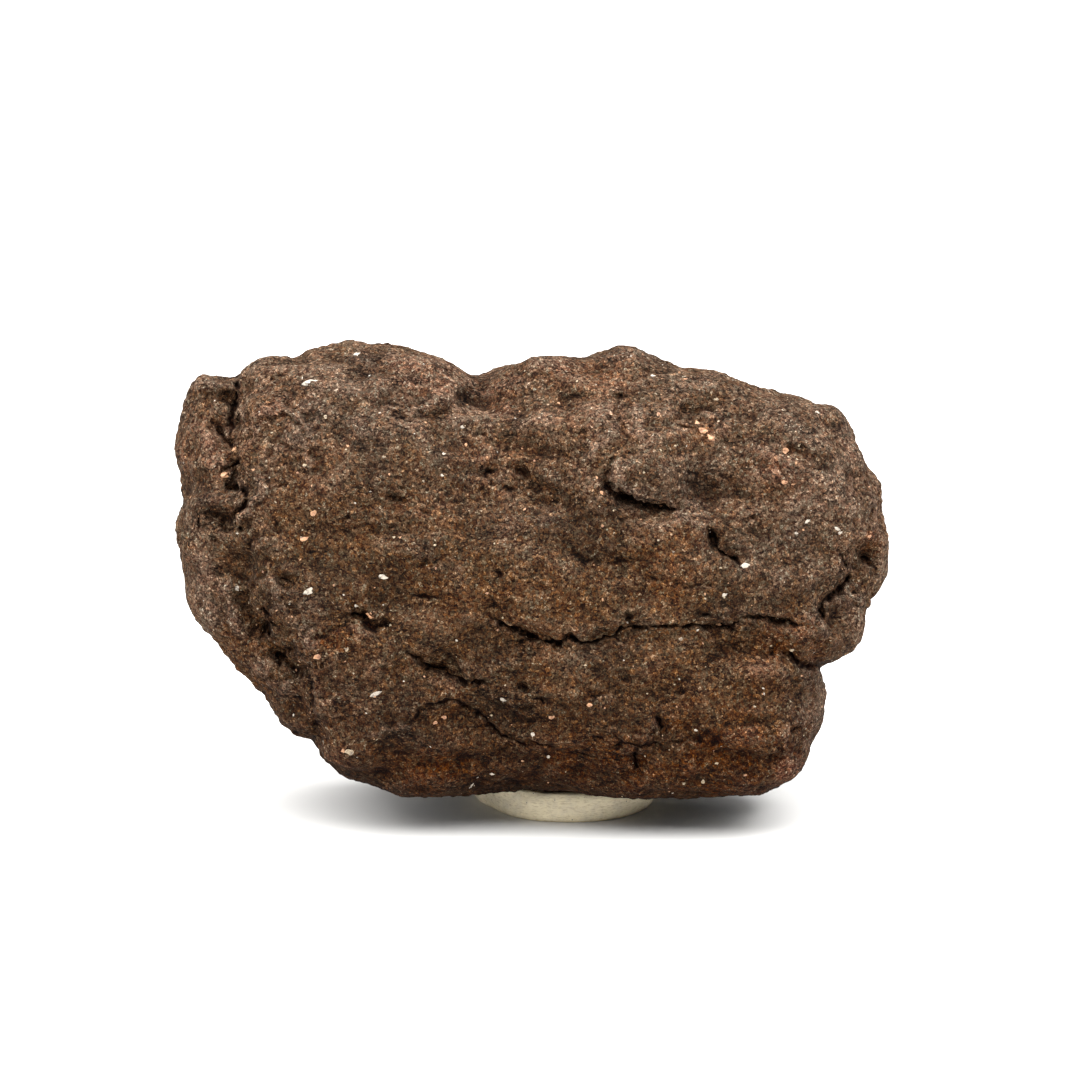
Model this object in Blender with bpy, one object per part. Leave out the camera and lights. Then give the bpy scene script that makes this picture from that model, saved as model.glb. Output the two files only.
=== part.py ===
"""A chondrite meteorite, one weathered stone, standing on a flattened pad of putty.

Metres, +Z up. The long side of the stone runs along X and its best face looks along -Y. The origin
is on the ground, under the middle of the box around the whole thing.

The stone is drawn on a plane that leans back, the plane that a viewer looking slightly down on it
sees square on. A place on that plane is (across, up) in millimetres from the plane's middle, and
"behind" is the distance from the plane, away from the viewer.
"""
import math

import bpy
import numpy as np
from mathutils import Vector, noise

MM = 0.001

# The outline's plane
PLANE_LEAN = math.radians(13.0)
PLANE_MIDDLE_HEIGHT = 26.7
CORE = (-0.5, -2.0)

# The stone's body, in millimetres
FRONT_SWELL = 10.8
BACK_SWELL = 24.0
RIGHT_END_THICKER = 0.12
FRONT_ROUNDNESS_LEVEL = 3.3
FRONT_ROUNDNESS_UPRIGHT = 2.15
BACK_ROUNDNESS_LEVEL = 3.0
BACK_ROUNDNESS_UPRIGHT = 2.7
OUTLINE_SOFTENING = math.radians(11.0)
SOFTENING_SAMPLES = 11
OUTLINE_SHARP_BAND = 0.22
CALM_DEPTH = 0.35
TWIST_START = 0.4
TWIST_RUN = 0.4
BACK_TWIST = math.radians(-13.0)
BALL_STEPS = 7
STONE_TRIANGLES = 9000

# The resting spot and the pad, in millimetres
PAD_MIDDLE = (2.9, 4.9)
PAD_RADIUS = 8.1
PAD_THICKNESS = 2.8
PAD_SEGMENTS = 36
PAD_RINGS = 12
WALL_FULLNESS = 0.2
WALL_SHARE = 0.75
FLAP_LENGTH = 1.4
FLAP_DIRECTION = math.radians(176.0)
FLAP_HALF_WIDTH = math.radians(17.0)
REST_GAP = 0.3
SPOT_MARGIN = 1.0
SPOT_RUN_OUT = 5.0
UNDERSIDE_LOWEST = 2.0
UNDERSIDE_SOFTNESS = 0.5

# The outline of the stone on its plane, clockwise from the left flange's foot, in millimetres
LEFT_FLANGE = [
    (-33.4, 2.9), (-33.7, 4.9), (-33.9, 7.0), (-34.1, 8.5), (-33.9, 10.8), (-33.6, 12.6), (-32.9, 14.1),
    (-32.2, 15.2), (-31.5, 15.6), (-30.4, 15.3), (-28.9, 15.1), (-28.1, 15.4),
]
LEFT_CROWN = [
    (-27.8, 15.9), (-27.1, 16.4), (-25.8, 16.6), (-23.9, 16.6), (-23.0, 16.5), (-22.2, 16.9),
    (-21.5, 17.8), (-20.1, 18.2), (-18.7, 18.4), (-17.6, 18.8), (-16.1, 18.3), (-13.1, 18.2),
    (-11.7, 18.0), (-10.6, 17.6), (-9.0, 17.0), (-8.0, 16.3), (-6.9, 15.4),
]
RIGHT_CROWN = [
    (-6.1, 15.2), (-4.7, 15.7), (-3.7, 16.1), (-2.5, 16.3), (-1.0, 16.6), (0.5, 16.9), (2.9, 16.9),
    (5.3, 17.3), (6.7, 17.8), (8.0, 18.1), (9.4, 17.7), (11.0, 16.7), (13.0, 16.1), (14.6, 15.9),
    (15.9, 15.9), (18.6, 14.9), (20.8, 14.2), (21.7, 14.2), (22.7, 13.6), (24.1, 13.5), (25.5, 12.8),
    (27.0, 12.4),
]
RIGHT_END = [
    (27.9, 12.0), (28.7, 11.2), (29.3, 10.5), (29.5, 9.4), (30.2, 7.9), (30.8, 6.5), (31.7, 5.6),
    (32.1, 4.2), (31.9, 3.3), (32.2, 1.7), (32.5, 0.2), (32.4, -1.1), (32.3, -2.1), (32.6, -2.8),
    (31.8, -4.7), (30.8, -5.6), (30.3, -6.5), (30.2, -7.7), (30.3, -8.8), (29.8, -9.5), (28.8, -10.3),
    (27.6, -11.0), (26.4, -11.5),
]
LOWER_RIGHT_LOBE = [
    (25.9, -11.6), (26.2, -12.2), (26.6, -14.4), (26.5, -17.5), (25.5, -18.5), (24.6, -20.2),
    (23.6, -21.4), (22.6, -22.6), (21.3, -23.4), (20.4, -23.8), (19.1, -23.7), (17.3, -24.1),
]
UNDERSIDE = [
    (15.4, -24.3), (13.4, -24.4), (10.8, -24.2), (7.1, -24.0), (1.9, -23.6), (-2.3, -23.1), (-4.2, -23.5),
    (-8.4, -23.8), (-13.1, -23.6), (-14.3, -23.1), (-15.7, -22.5), (-17.8, -22.2), (-19.2, -21.4),
]
LOWER_LEFT = [
    (-20.3, -20.4), (-21.0, -19.0), (-21.3, -18.5), (-22.7, -18.3), (-23.6, -17.6), (-24.6, -16.2),
    (-25.6, -14.4), (-26.8, -13.4), (-28.6, -11.6), (-30.4, -9.0), (-31.5, -8.0), (-32.6, -6.5),
    (-33.1, -5.1), (-33.5, -2.4), (-34.0, 2.0),
]
OUTLINE = (LEFT_FLANGE + LEFT_CROWN + RIGHT_CROWN + RIGHT_END + LOWER_RIGHT_LOBE + UNDERSIDE
           + LOWER_LEFT)

# Flat breaks that trim the swelling body: (across, up, behind) of the face, distance from the core
BREAK_SOFTNESS = 1.6
BREAK_FLATNESS = 0.85
BREAK_START = 4.0
BREAKS = [
    ((0.10, 0.80, 0.60), 19.5),
    ((-0.12, -0.66, 0.74), 24.8),
    ((-0.80, 0.12, 0.58), 27.0),
    ((0.84, -0.10, 0.54), 28.5),
    ((-0.22, 0.14, 0.97), 19.2),
    ((0.34, -0.16, 0.93), 22.0),
]

# How far in front of and behind the outline's plane the carving reaches its full depth
FRONT_FADE = 3.0
BACK_FADE = 9.0

# Broad swellings (+) and hollows (-): middle, half widths across and up, height
FRONT_LUMPS = [
    ((10.3, 8.4), (4.6, 5.0), 1.8),
    ((-18.0, 8.0), (8.0, 8.0), 1.0),
    ((-5.8, 14.0), (3.0, 4.5), -1.8),
    ((16.1, 4.0), (2.8, 2.0), -1.7),
    ((21.5, -17.8), (4.5, 4.5), 1.3),
    ((17.3, -10.7), (3.4, 1.8), -1.0),
    ((24.0, 7.0), (5.0, 4.0), 1.1),
    ((-4.0, -2.0), (9.0, 5.0), 0.7),
    ((-24.0, -3.0), (3.0, 5.0), 0.6),
    ((-16.0, -12.0), (7.0, 4.0), 0.8),
    ((4.0, -12.0), (9.0, 2.5), 0.6),
    ((-31.0, -4.0), (3.0, 5.0), -0.8),
    ((2.0, 12.0), (5.0, 3.5), 0.6),
    ((22.0, -3.0), (5.0, 3.0), 0.5),
]
BACK_LUMPS = [
    ((-12.0, 7.0), (6.0, 5.0), -2.2),
    ((4.0, 9.0), (6.0, 4.5), -1.8),
    ((17.0, 3.0), (5.5, 5.0), -2.4),
    ((-3.0, -6.0), (7.5, 5.0), -2.2),
    ((11.0, -14.0), (6.0, 4.0), -1.8),
    ((-19.0, -6.0), (5.0, 5.5), -1.8),
    ((24.0, -7.0), (4.0, 4.5), -1.5),
    ((-26.0, 6.0), (4.0, 6.0), -1.4),
    ((-5.0, 2.0), (4.0, 3.0), 1.2),
    ((8.0, -4.0), (5.0, 4.0), 1.4),
]

# Ledges: the face falls back on the right of the line as it runs, or on its left where the drop is
# negative, and comes out again over the run-out. Line, drop, run-out
LEDGE_EDGE = 0.7
LEDGE_END_FADE = 2.5
FRONT_LEDGES = [
    ([(6.1, 5.0), (7.5, 3.7), (9.8, 3.3), (12.6, 2.9)], 0.7, 2.0),
    ([(-6.5, 7.5), (-1.0, 5.6), (5.6, 3.7)], 0.6, 4.0),
    ([(-4.5, -7.5), (-2.8, -8.1), (0.9, -9.5), (3.3, -9.8), (6.5, -8.9), (8.4, -7.9), (11.7, -8.1),
      (15.0, -7.9), (21.7, -7.5), (25.2, -8.4)], 0.7, 4.0),
    ([(-13.1, -9.3), (-11.7, -10.9), (-8.7, -11.9), (-5.6, -14.0), (-1.9, -15.0)], 0.7, 3.0),
    ([(-17.5, -17.8), (-13.5, -17.6), (-10.7, -15.6), (-8.9, -15.0), (-7.0, -15.4), (-4.7, -17.0),
      (-2.3, -18.4), (0.5, -19.2), (2.3, -19.3), (5.6, -18.2), (7.2, -19.2), (11.0, -19.2)], 0.7, 4.0),
    ([(16.0, 0.4), (19.2, -2.3)], 0.4, 2.5),
    ([(30.6, 1.5), (29.4, -1.6), (28.0, -3.7), (27.3, -5.1), (26.2, -7.9), (25.7, -9.3)], -2.0, 4.0),
    ([(-20.8, -18.5), (-21.4, -14.0), (-22.2, -11.9), (-23.8, -10.5), (-25.4, -8.1), (-26.6, -5.6),
      (-27.2, 0.0)], -2.4, 7.0),
    ([(-27.9, 3.4), (-27.8, 6.5), (-28.2, 9.3), (-28.4, 12.1), (-28.2, 15.3)], -1.6, 6.0),
]
BACK_LEDGES = [
    ([(-27.0, -2.0), (-18.0, -1.0), (-8.0, -3.5), (3.0, -2.0), (14.0, -5.0), (25.0, -4.0)], 1.5, 4.5),
    ([(-20.0, 12.0), (-10.0, 12.8), (0.0, 11.5), (12.0, 12.0)], 1.2, 4.0),
    ([(-16.0, -13.0), (-6.0, -12.0), (4.0, -14.0), (16.0, -13.0)], 1.3, 3.5),
]

# Grooves (+ cuts in, - stands out as a ridge): line, half width, depth
GROOVE_END_FADE = 1.5
GROOVE_END_SHARE = 0.25
FRONT_GROOVES = [
    ([(-28.2, 15.4), (-28.4, 12.1), (-28.2, 9.3), (-27.8, 6.5), (-27.9, 3.7)], 0.9, 2.0),
    ([(-26.8, 11.0), (-25.2, 12.3), (-22.4, 11.2), (-21.7, 8.9)], 1.0, -0.7),
    ([(-15.4, 12.9), (-12.1, 12.1), (-8.4, 11.0)], 1.6, 1.1),
    ([(-6.5, 15.1), (-7.9, 14.0), (-9.8, 12.6)], 1.0, -1.1),
    ([(-5.2, 6.6), (-1.7, 6.3), (-0.5, 4.2), (1.9, 3.1)], 0.6, 0.5),
    ([(6.0, 5.1), (7.5, 3.7), (9.8, 3.3), (12.6, 2.9)], 0.6, 0.5),
    ([(16.0, 0.6), (17.0, -0.9), (19.2, -2.3)], 0.6, 0.6),
    ([(-4.5, -7.5), (-2.8, -8.1), (0.9, -9.5), (3.3, -9.8), (6.5, -8.9), (8.4, -7.9)], 0.6, 0.5),
    ([(-13.1, -9.3), (-11.7, -10.9), (-8.7, -11.9), (-5.6, -14.0)], 0.6, 0.5),
    ([(20.6, -7.3), (21.7, -7.5), (25.2, -8.4)], 0.6, 0.5),
    ([(30.6, -0.6), (29.4, -1.6), (28.0, -3.7), (27.3, -5.1), (26.2, -7.9)], 0.8, 1.3),
    ([(-17.3, -18.2), (-13.1, -17.8), (-10.3, -17.5)], 0.8, -0.6),
]
BACK_GROOVES = [
    ([(-20.0, 9.0), (-13.0, 4.0), (-8.0, 3.0), (-1.0, -1.0)], 0.8, 1.2),
    ([(6.0, 4.0), (12.0, 1.0), (21.0, 0.0)], 0.7, 1.1),
    ([(-10.0, -9.0), (-2.0, -10.0), (7.0, -8.5)], 0.7, 1.0),
    ([(20.0, 9.0), (22.0, 3.0), (20.0, -3.0)], 0.8, 1.0),
]

# Pits: middle, half widths across and up, depth
FRONT_PITS = [
    ((-29.6, 1.9), (1.7, 1.2), 1.6), ((-29.9, 10.6), (0.7, 1.0), 1.3), ((-29.3, 8.9), (0.8, 1.0), 1.4),
    ((-26.4, -7.0), (1.0, 1.1), 1.6), ((-25.5, -8.2), (0.9, 0.9), 1.4), ((-23.8, -10.5), (1.1, 0.9), 1.6),
    ((-22.2, -11.9), (1.1, 0.9), 1.7), ((-20.7, -17.5), (0.8, 1.0), 1.3), ((-23.2, -3.9), (1.1, 0.6), 1.1),
    ((-16.6, -6.7), (1.0, 0.8), 0.8), ((-14.5, -7.9), (0.9, 0.7), 0.7), ((-4.7, 6.4), (0.9, 0.7), 0.6),
    ((-1.7, 6.4), (0.9, 0.6), 0.5), ((16.1, 0.3), (0.8, 0.9), 1.0), ((-1.4, -13.7), (0.8, 0.7), 0.6),
    ((9.1, -20.3), (0.7, 1.2), 1.0), ((11.2, -17.0), (0.6, 0.9), 0.7), ((5.8, -18.2), (0.9, 0.6), 0.7),
    ((22.9, -10.3), (0.9, 0.7), 1.3), ((25.2, -10.7), (0.9, 0.9), 1.1), ((8.4, -7.8), (0.7, 0.6), 0.6),
    ((-8.9, -11.7), (1.0, 0.7), 0.8), ((21.7, -7.6), (1.1, 0.6), 0.6), ((29.8, -1.4), (1.0, 1.1), 1.2),
]
BACK_PITS = [
    ((-22.0, 2.0), (1.2, 0.9), 1.3), ((-14.0, -2.5), (1.0, 1.0), 1.2), ((1.0, 5.0), (1.3, 0.9), 1.3),
    ((13.0, 7.0), (1.0, 0.8), 1.1), ((9.0, -10.0), (1.2, 0.8), 1.2), ((-8.0, -15.0), (1.1, 0.8), 1.1),
    ((22.0, -12.0), (0.9, 1.1), 1.2), ((-12.0, 10.5), (0.9, 0.9), 1.1), ((20.0, -1.5), (1.1, 0.8), 1.2),
]

# The natural roughness: size of the forms in millimetres (along the layers, through them, behind),
# height, place in the noise, and treads that the slopes break into (0 where they stay even)
ROUGHNESS = [
    ((11.0, 8.0, 10.0), 0.9, 3.7, 0),
    ((7.0, 3.4, 6.0), 1.1, 37.1, 3),
    ((4.0, 1.8, 3.6), 0.45, 11.3, 0),
    ((2.1, 1.4, 2.1), 0.30, 23.9, 0),
]
RISER_SHARE = 0.3
OUTLINE_SHARE_OF_ROUGHNESS = 0.15
OUTLINE_BAND = 2.5
LAYER_DIP = math.radians(-6.0)

# Colours and finish of the two pieces
STONE_COLOUR = (0.072, 0.045, 0.030, 1.0)
STONE_ROUGHNESS = 0.88
PUTTY_COLOUR = (0.62, 0.56, 0.42, 1.0)
PUTTY_ROUGHNESS = 0.60


def clear_scene():
    """Remove what the file starts with."""
    for thing in list(bpy.data.objects):
        bpy.data.objects.remove(thing, do_unlink=True)


def make_material(name, colour, roughness):
    """A plain Principled material."""
    material = bpy.data.materials.new(name)
    material.use_nodes = True
    shader = material.node_tree.nodes["Principled BSDF"]
    shader.inputs["Base Color"].default_value = colour
    shader.inputs["Roughness"].default_value = roughness
    shader.inputs["Metallic"].default_value = 0.0
    return material


def move_to_collection(piece, collection):
    """Keep the piece in the given collection alone."""
    for old in list(piece.users_collection):
        old.objects.unlink(piece)
    collection.objects.link(piece)


def read_points(mesh):
    """The mesh's points as an array of rows."""
    points = np.empty(len(mesh.vertices) * 3)
    mesh.vertices.foreach_get("co", points)
    return points.reshape(-1, 3)


def write_points(mesh, points):
    """Put the rows back as the mesh's points."""
    mesh.vertices.foreach_set("co", points.ravel())
    mesh.update()


def smooth_step(value):
    """Rise from 0 to 1 with soft ends as value goes from 0 to 1."""
    clipped = np.clip(value, 0.0, 1.0)
    return clipped * clipped * (3.0 - 2.0 * clipped)


def outline_reach(angle):
    """How far the outline is from the core in each direction, by its points and straight runs."""
    angle = np.arctan2(np.sin(angle), np.cos(angle))
    corners = np.array(OUTLINE) - np.array(CORE)
    corner_angle = np.arctan2(corners[:, 1], corners[:, 0])
    order = np.argsort(corner_angle)
    corners = corners[order]
    corner_angle = corner_angle[order]
    after = np.searchsorted(corner_angle, angle) % len(corners)
    first = corners[after - 1]
    run = corners[after] - first
    ray = np.stack([np.cos(angle), np.sin(angle)], axis=1)
    return ((first[:, 0] * run[:, 1] - first[:, 1] * run[:, 0])
            / (ray[:, 0] * run[:, 1] - ray[:, 1] * run[:, 0]))


def softened_reach(angle):
    """The outline's reach, averaged over the directions on both sides."""
    samples = np.linspace(-1.0, 1.0, SOFTENING_SAMPLES + 2)[1:-1]
    weights = np.cos(samples * math.pi / 2.0) ** 2
    total = sum(weight * outline_reach(angle + OUTLINE_SOFTENING * sample)
                for weight, sample in zip(weights, samples))
    return total / weights.sum()


def swollen_body(ball):
    """Turn a unit ball's points into the plain body: (across, up, behind) in millimetres."""
    from_middle = np.hypot(ball[:, 0], ball[:, 2])
    angle = np.arctan2(ball[:, 2], ball[:, 0])
    is_front = ball[:, 1] < 0.0
    sharp = outline_reach(angle)
    sharp_share = smooth_step((from_middle - 1.0 + OUTLINE_SHARP_BAND) / OUTLINE_SHARP_BAND)
    front_reach = softened_reach(angle) * (1.0 - sharp_share) + sharp * sharp_share
    depth_share = np.clip(ball[:, 1], 0.0, 1.0)
    twist_share = smooth_step((depth_share - TWIST_START) / TWIST_RUN)
    calm = np.minimum(sharp, softened_reach(angle))
    calm += (softened_reach(angle + BACK_TWIST) - calm) * twist_share
    back_reach = sharp + (calm - sharp) * smooth_step(depth_share / CALM_DEPTH)
    reach = np.where(is_front, front_reach, back_reach)
    across = reach * ball[:, 0]
    up = reach * ball[:, 2]
    level = np.cos(angle) ** 2
    front_power = FRONT_ROUNDNESS_UPRIGHT + (FRONT_ROUNDNESS_LEVEL - FRONT_ROUNDNESS_UPRIGHT) * level
    back_power = BACK_ROUNDNESS_UPRIGHT + (BACK_ROUNDNESS_LEVEL - BACK_ROUNDNESS_UPRIGHT) * level
    power = np.where(is_front, front_power, back_power)
    share = (1.0 - np.clip(from_middle, 0.0, 1.0) ** power) ** (1.0 / power)
    back_swell = BACK_SWELL * (1.0 + RIGHT_END_THICKER * across / reach.max())
    behind = np.where(is_front, -FRONT_SWELL, back_swell) * share
    return np.stack([across, up, behind], axis=1)


def trim_breaks(body):
    """Flatten the swelling where it passes a break, with a soft edge."""
    for facing, distance in BREAKS:
        normal = np.array(facing) / np.linalg.norm(facing)
        past = body @ normal - distance
        excess = BREAK_SOFTNESS * np.logaddexp(0.0, past / BREAK_SOFTNESS)
        behind_share = smooth_step(body[:, 2] / BREAK_START)
        body -= np.outer(BREAK_FLATNESS * excess * behind_share, normal)
    return body


def nearest_on_line(line, place):
    """Distance to a line of points, side (+1 on its left), and way to the nearer end."""
    closest = np.full(len(place), np.inf)
    side = np.zeros(len(place))
    way_to_end = np.zeros(len(place))
    corners = np.array(line)
    lengths = np.linalg.norm(np.diff(corners, axis=0), axis=1)
    gone = 0.0
    for start, end, length in zip(corners, corners[1:], lengths):
        run = (end - start) / length
        offset = place - start
        along = np.clip(offset @ run, 0.0, length)
        distance = np.linalg.norm(offset - np.outer(along, run), axis=1)
        turned = run[0] * offset[:, 1] - run[1] * offset[:, 0]
        closer = distance < closest
        closest = np.where(closer, distance, closest)
        side = np.where(closer, np.sign(turned), side)
        ends = np.minimum(gone + along, lengths.sum() - gone - along)
        way_to_end = np.where(closer, ends, way_to_end)
        gone += length
    return closest, side, way_to_end


def lump_relief(lumps, place):
    """Height of rounded swellings and hollows at each place."""
    height = np.zeros(len(place))
    for middle, widths, tallness in lumps:
        offset = (place - middle) / widths
        height += tallness * np.exp(-np.sum(offset * offset, axis=1))
    return height


def ledge_relief(ledges, place):
    """Depth of the steps: sharp at the line, running out on the side that falls back."""
    depth = np.zeros(len(place))
    for line, drop, run_out in ledges:
        distance, side, way_to_end = nearest_on_line(line, place)
        lower = -side if drop > 0 else side
        edge = smooth_step(0.5 + 0.5 * lower * distance / LEDGE_EDGE)
        run = np.exp(-distance / run_out)
        depth += abs(drop) * edge * run * smooth_step(way_to_end / LEDGE_END_FADE)
    return -depth


def groove_relief(grooves, place):
    """Depth of the grooves and height of the ridges."""
    height = np.zeros(len(place))
    for line, half_width, depth in grooves:
        distance, _, way_to_end = nearest_on_line(line, place)
        share = np.exp(-(distance / half_width) ** 2)
        height -= depth * share * smooth_step(GROOVE_END_SHARE + way_to_end / GROOVE_END_FADE)
    return height


def pit_relief(pits, place):
    """Depth of the round-bottomed pits."""
    height = np.zeros(len(place))
    for middle, widths, depth in pits:
        offset = (place - middle) / widths
        height -= depth * np.exp(-np.sum(offset * offset, axis=1) ** 1.5)
    return height


def carve_faces(body):
    """Press lumps, ledges, grooves and pits into the front and back, along the viewer's line."""
    place = body[:, :2]
    front = (lump_relief(FRONT_LUMPS, place) + ledge_relief(FRONT_LEDGES, place)
             + groove_relief(FRONT_GROOVES, place) + pit_relief(FRONT_PITS, place))
    back = (lump_relief(BACK_LUMPS, place) + ledge_relief(BACK_LEDGES, place)
            + groove_relief(BACK_GROOVES, place) + pit_relief(BACK_PITS, place))
    front_share = smooth_step(-body[:, 2] / FRONT_FADE)
    back_share = smooth_step(body[:, 2] / BACK_FADE)
    body[:, 2] += back * back_share - front * front_share
    return body


def surface_normals(mesh):
    """The mesh's own point normals."""
    normals = np.empty(len(mesh.vertices) * 3)
    mesh.vertices.foreach_get("normal", normals)
    return normals.reshape(-1, 3)


def terraced(height, treads):
    """Break even slopes into level treads with steep risers between them."""
    scaled = height * treads
    tread = np.floor(scaled)
    riser = (scaled - tread - 0.5) / RISER_SHARE + 0.5
    return (tread + smooth_step(riser)) / treads


def roughen(body, normals):
    """Add the layered natural roughness, less of it where the outline is drawn."""
    cosine = math.cos(LAYER_DIP)
    sine = math.sin(LAYER_DIP)
    along_layer = body[:, 0] * cosine + body[:, 1] * sine
    through_layer = body[:, 1] * cosine - body[:, 0] * sine
    layered = np.stack([along_layer, through_layer, body[:, 2]], axis=1)
    height = np.zeros(len(body))
    for sizes, tallness, shift, treads in ROUGHNESS:
        spots = layered / sizes + (shift, -shift, shift)
        field = np.array([noise.noise(Vector(spot)) for spot in spots])
        height += tallness * (terraced(field, treads) if treads else field)
    near_outline = np.exp(-(body[:, 2] / OUTLINE_BAND) ** 2)
    share = 1.0 - (1.0 - OUTLINE_SHARE_OF_ROUGHNESS) * near_outline
    return body + normals * (height * share)[:, None]


def stand_up(body):
    """Turn (across, up, behind) into X, Y, Z, with the plane leaning back over the ground."""
    cosine = math.cos(PLANE_LEAN)
    sine = math.sin(PLANE_LEAN)
    depth = body[:, 1] * sine + body[:, 2] * cosine
    height = PLANE_MIDDLE_HEIGHT + body[:, 1] * cosine - body[:, 2] * sine
    return np.stack([body[:, 0], depth, height], axis=1)


def flatten_resting_spot(points):
    """Cut the underside level where the stone sits on the pad, and keep the rest off the ground."""
    height = points[:, 2]
    spare = (height - UNDERSIDE_LOWEST) / UNDERSIDE_SOFTNESS
    lifted = UNDERSIDE_LOWEST + UNDERSIDE_SOFTNESS * np.logaddexp(0.0, spare)
    spot_height = PAD_THICKNESS + REST_GAP
    from_pad = np.hypot(points[:, 0] - PAD_MIDDLE[0], points[:, 1] - PAD_MIDDLE[1])
    spot_share = 1.0 - smooth_step((from_pad - PAD_RADIUS - SPOT_MARGIN) / SPOT_RUN_OUT)
    points[:, 2] = lifted + spot_share * np.maximum(spot_height - lifted, 0.0)
    return points


def make_meteorite(collection):
    """The stone: a ball swollen to the drawn outline, broken, carved and roughened."""
    bpy.ops.mesh.primitive_ico_sphere_add(subdivisions=BALL_STEPS, radius=1.0)
    stone = bpy.context.object
    stone.name = "meteorite"
    mesh = stone.data
    mesh.name = "meteorite"
    body = swollen_body(read_points(mesh))
    body = trim_breaks(body)
    body[:, :2] += CORE
    body = carve_faces(body)
    write_points(mesh, body[:, [0, 2, 1]])
    normals = surface_normals(mesh)[:, [0, 2, 1]]
    body = roughen(body, normals)
    points = flatten_resting_spot(stand_up(body))
    write_points(mesh, points * MM)
    thin = stone.modifiers.new("fewer faces", "DECIMATE")
    thin.decimate_type = "COLLAPSE"
    thin.ratio = STONE_TRIANGLES / len(mesh.polygons)
    bpy.ops.object.modifier_apply(modifier=thin.name)
    mesh.materials.append(make_material("weathered chondrite", STONE_COLOUR, STONE_ROUGHNESS))
    mesh.shade_smooth()
    move_to_collection(stone, collection)
    return stone


def make_putty_pad(collection):
    """The pad: a squashed bun of putty with a level top and foot and a flap at its left."""
    bpy.ops.mesh.primitive_uv_sphere_add(segments=PAD_SEGMENTS, ring_count=PAD_RINGS, radius=1.0)
    pad = bpy.context.object
    pad.name = "putty_pad"
    mesh = pad.data
    mesh.name = "putty_pad"
    ball = read_points(mesh)
    angle = np.arctan2(ball[:, 1], ball[:, 0])
    wobble = 1.0 + 0.012 * np.cos(3.0 * angle + 0.6) + 0.008 * np.cos(5.0 * angle - 1.0)
    from_flap = angle - FLAP_DIRECTION
    from_flap = np.arctan2(np.sin(from_flap), np.cos(from_flap))
    reach = PAD_RADIUS * wobble + FLAP_LENGTH * np.exp(-(from_flap / FLAP_HALF_WIDTH) ** 2)
    out = np.hypot(ball[:, 0], ball[:, 1]) ** WALL_FULLNESS
    points = np.empty_like(ball)
    points[:, 0] = PAD_MIDDLE[0] + reach * out * np.cos(angle)
    points[:, 1] = PAD_MIDDLE[1] + reach * out * np.sin(angle)
    points[:, 2] = np.clip(PAD_THICKNESS * (0.5 + WALL_SHARE * ball[:, 2]), 0.0, PAD_THICKNESS)
    write_points(mesh, points * MM)
    mesh.materials.append(make_material("mounting putty", PUTTY_COLOUR, PUTTY_ROUGHNESS))
    mesh.shade_smooth()
    move_to_collection(pad, collection)
    return pad


def centre_on_origin(pieces):
    """Slide the pieces level so that the middle of their box is over the origin."""
    lowest = np.min([read_points(piece.data).min(axis=0) for piece in pieces], axis=0)
    highest = np.max([read_points(piece.data).max(axis=0) for piece in pieces], axis=0)
    middle = (lowest + highest) / 2.0
    middle[2] = 0.0
    for piece in pieces:
        write_points(piece.data, read_points(piece.data) - middle)


def main():
    """Model the stone and its pad."""
    clear_scene()
    collection = bpy.data.collections.new("chondrite meteorite")
    bpy.context.scene.collection.children.link(collection)
    stone = make_meteorite(collection)
    pad = make_putty_pad(collection)
    centre_on_origin([stone, pad])


main()
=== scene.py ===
"""Looks of a weathered chondrite, one stone standing on a pressed pad of mounting putty.

The stone is drawn on a plane that leans back 13 degrees, the plane that the viewer sees square on.
A place on it is (across, up) in millimetres from its middle, and "behind" is the distance from the
plane, away from the viewer. Cracks, rims, pits, stains and grains are given there.
"""
import math

import bpy
import numpy as np
from mathutils import Matrix, Vector, noise


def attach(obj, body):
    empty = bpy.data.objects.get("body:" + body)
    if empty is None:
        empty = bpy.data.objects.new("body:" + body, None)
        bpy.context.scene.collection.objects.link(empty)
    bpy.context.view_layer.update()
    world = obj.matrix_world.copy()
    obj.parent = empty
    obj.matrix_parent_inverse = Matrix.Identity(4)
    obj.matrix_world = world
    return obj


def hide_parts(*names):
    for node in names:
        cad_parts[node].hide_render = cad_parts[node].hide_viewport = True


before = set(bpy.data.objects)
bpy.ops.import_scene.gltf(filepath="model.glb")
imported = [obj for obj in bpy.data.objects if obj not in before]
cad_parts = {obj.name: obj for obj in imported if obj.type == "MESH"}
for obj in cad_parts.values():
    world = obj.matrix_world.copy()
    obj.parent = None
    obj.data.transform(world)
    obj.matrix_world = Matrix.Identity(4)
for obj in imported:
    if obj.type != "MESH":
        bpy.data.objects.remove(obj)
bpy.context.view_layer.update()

bl_info = {
    "name": "Chondrite Specimen",
    "version": (1, 0, 0),
    "blender": (4, 5, 0),
    "location": "3D View > Sidebar > Specimen",
    "description": "Dresses a weathered chondrite and its putty pad, and sets them on a white table",
    "category": "Object",
}

MM = 0.001

# The drawing plane, in millimetres in the frame, and the viewer in front of it
PLANE_LEAN = math.radians(13.0)
PLANE_MIDDLE = (0.78, -3.78, 26.7)
VIEWER_DISTANCE = 520.0
SENSOR_WIDTH = 36.0
LENS = 185.6

# The layers of the stone fall to the right, and its relief and hair cracks run along them
LAYER_DIP = math.radians(-6.0)

# Rounds of smoothing that take the facets off the solid, and those that find fine and broad hollows
FACET_ROUNDS = 55
FINE_ROUNDS = 5
BROAD_ROUNDS = 40

# A stroke leaves no mark past so many of its half widths, and its ends fade over so many millimetres
STROKE_REACH = 4.0
END_TAPER = 1.4

# The mesh is refined this near to a crack, in millimetres
REFINE_REACH = 1.0

# How steep-sided the pits are: 1 is a soft hollow
PIT_STEEPNESS = 1.5

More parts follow.
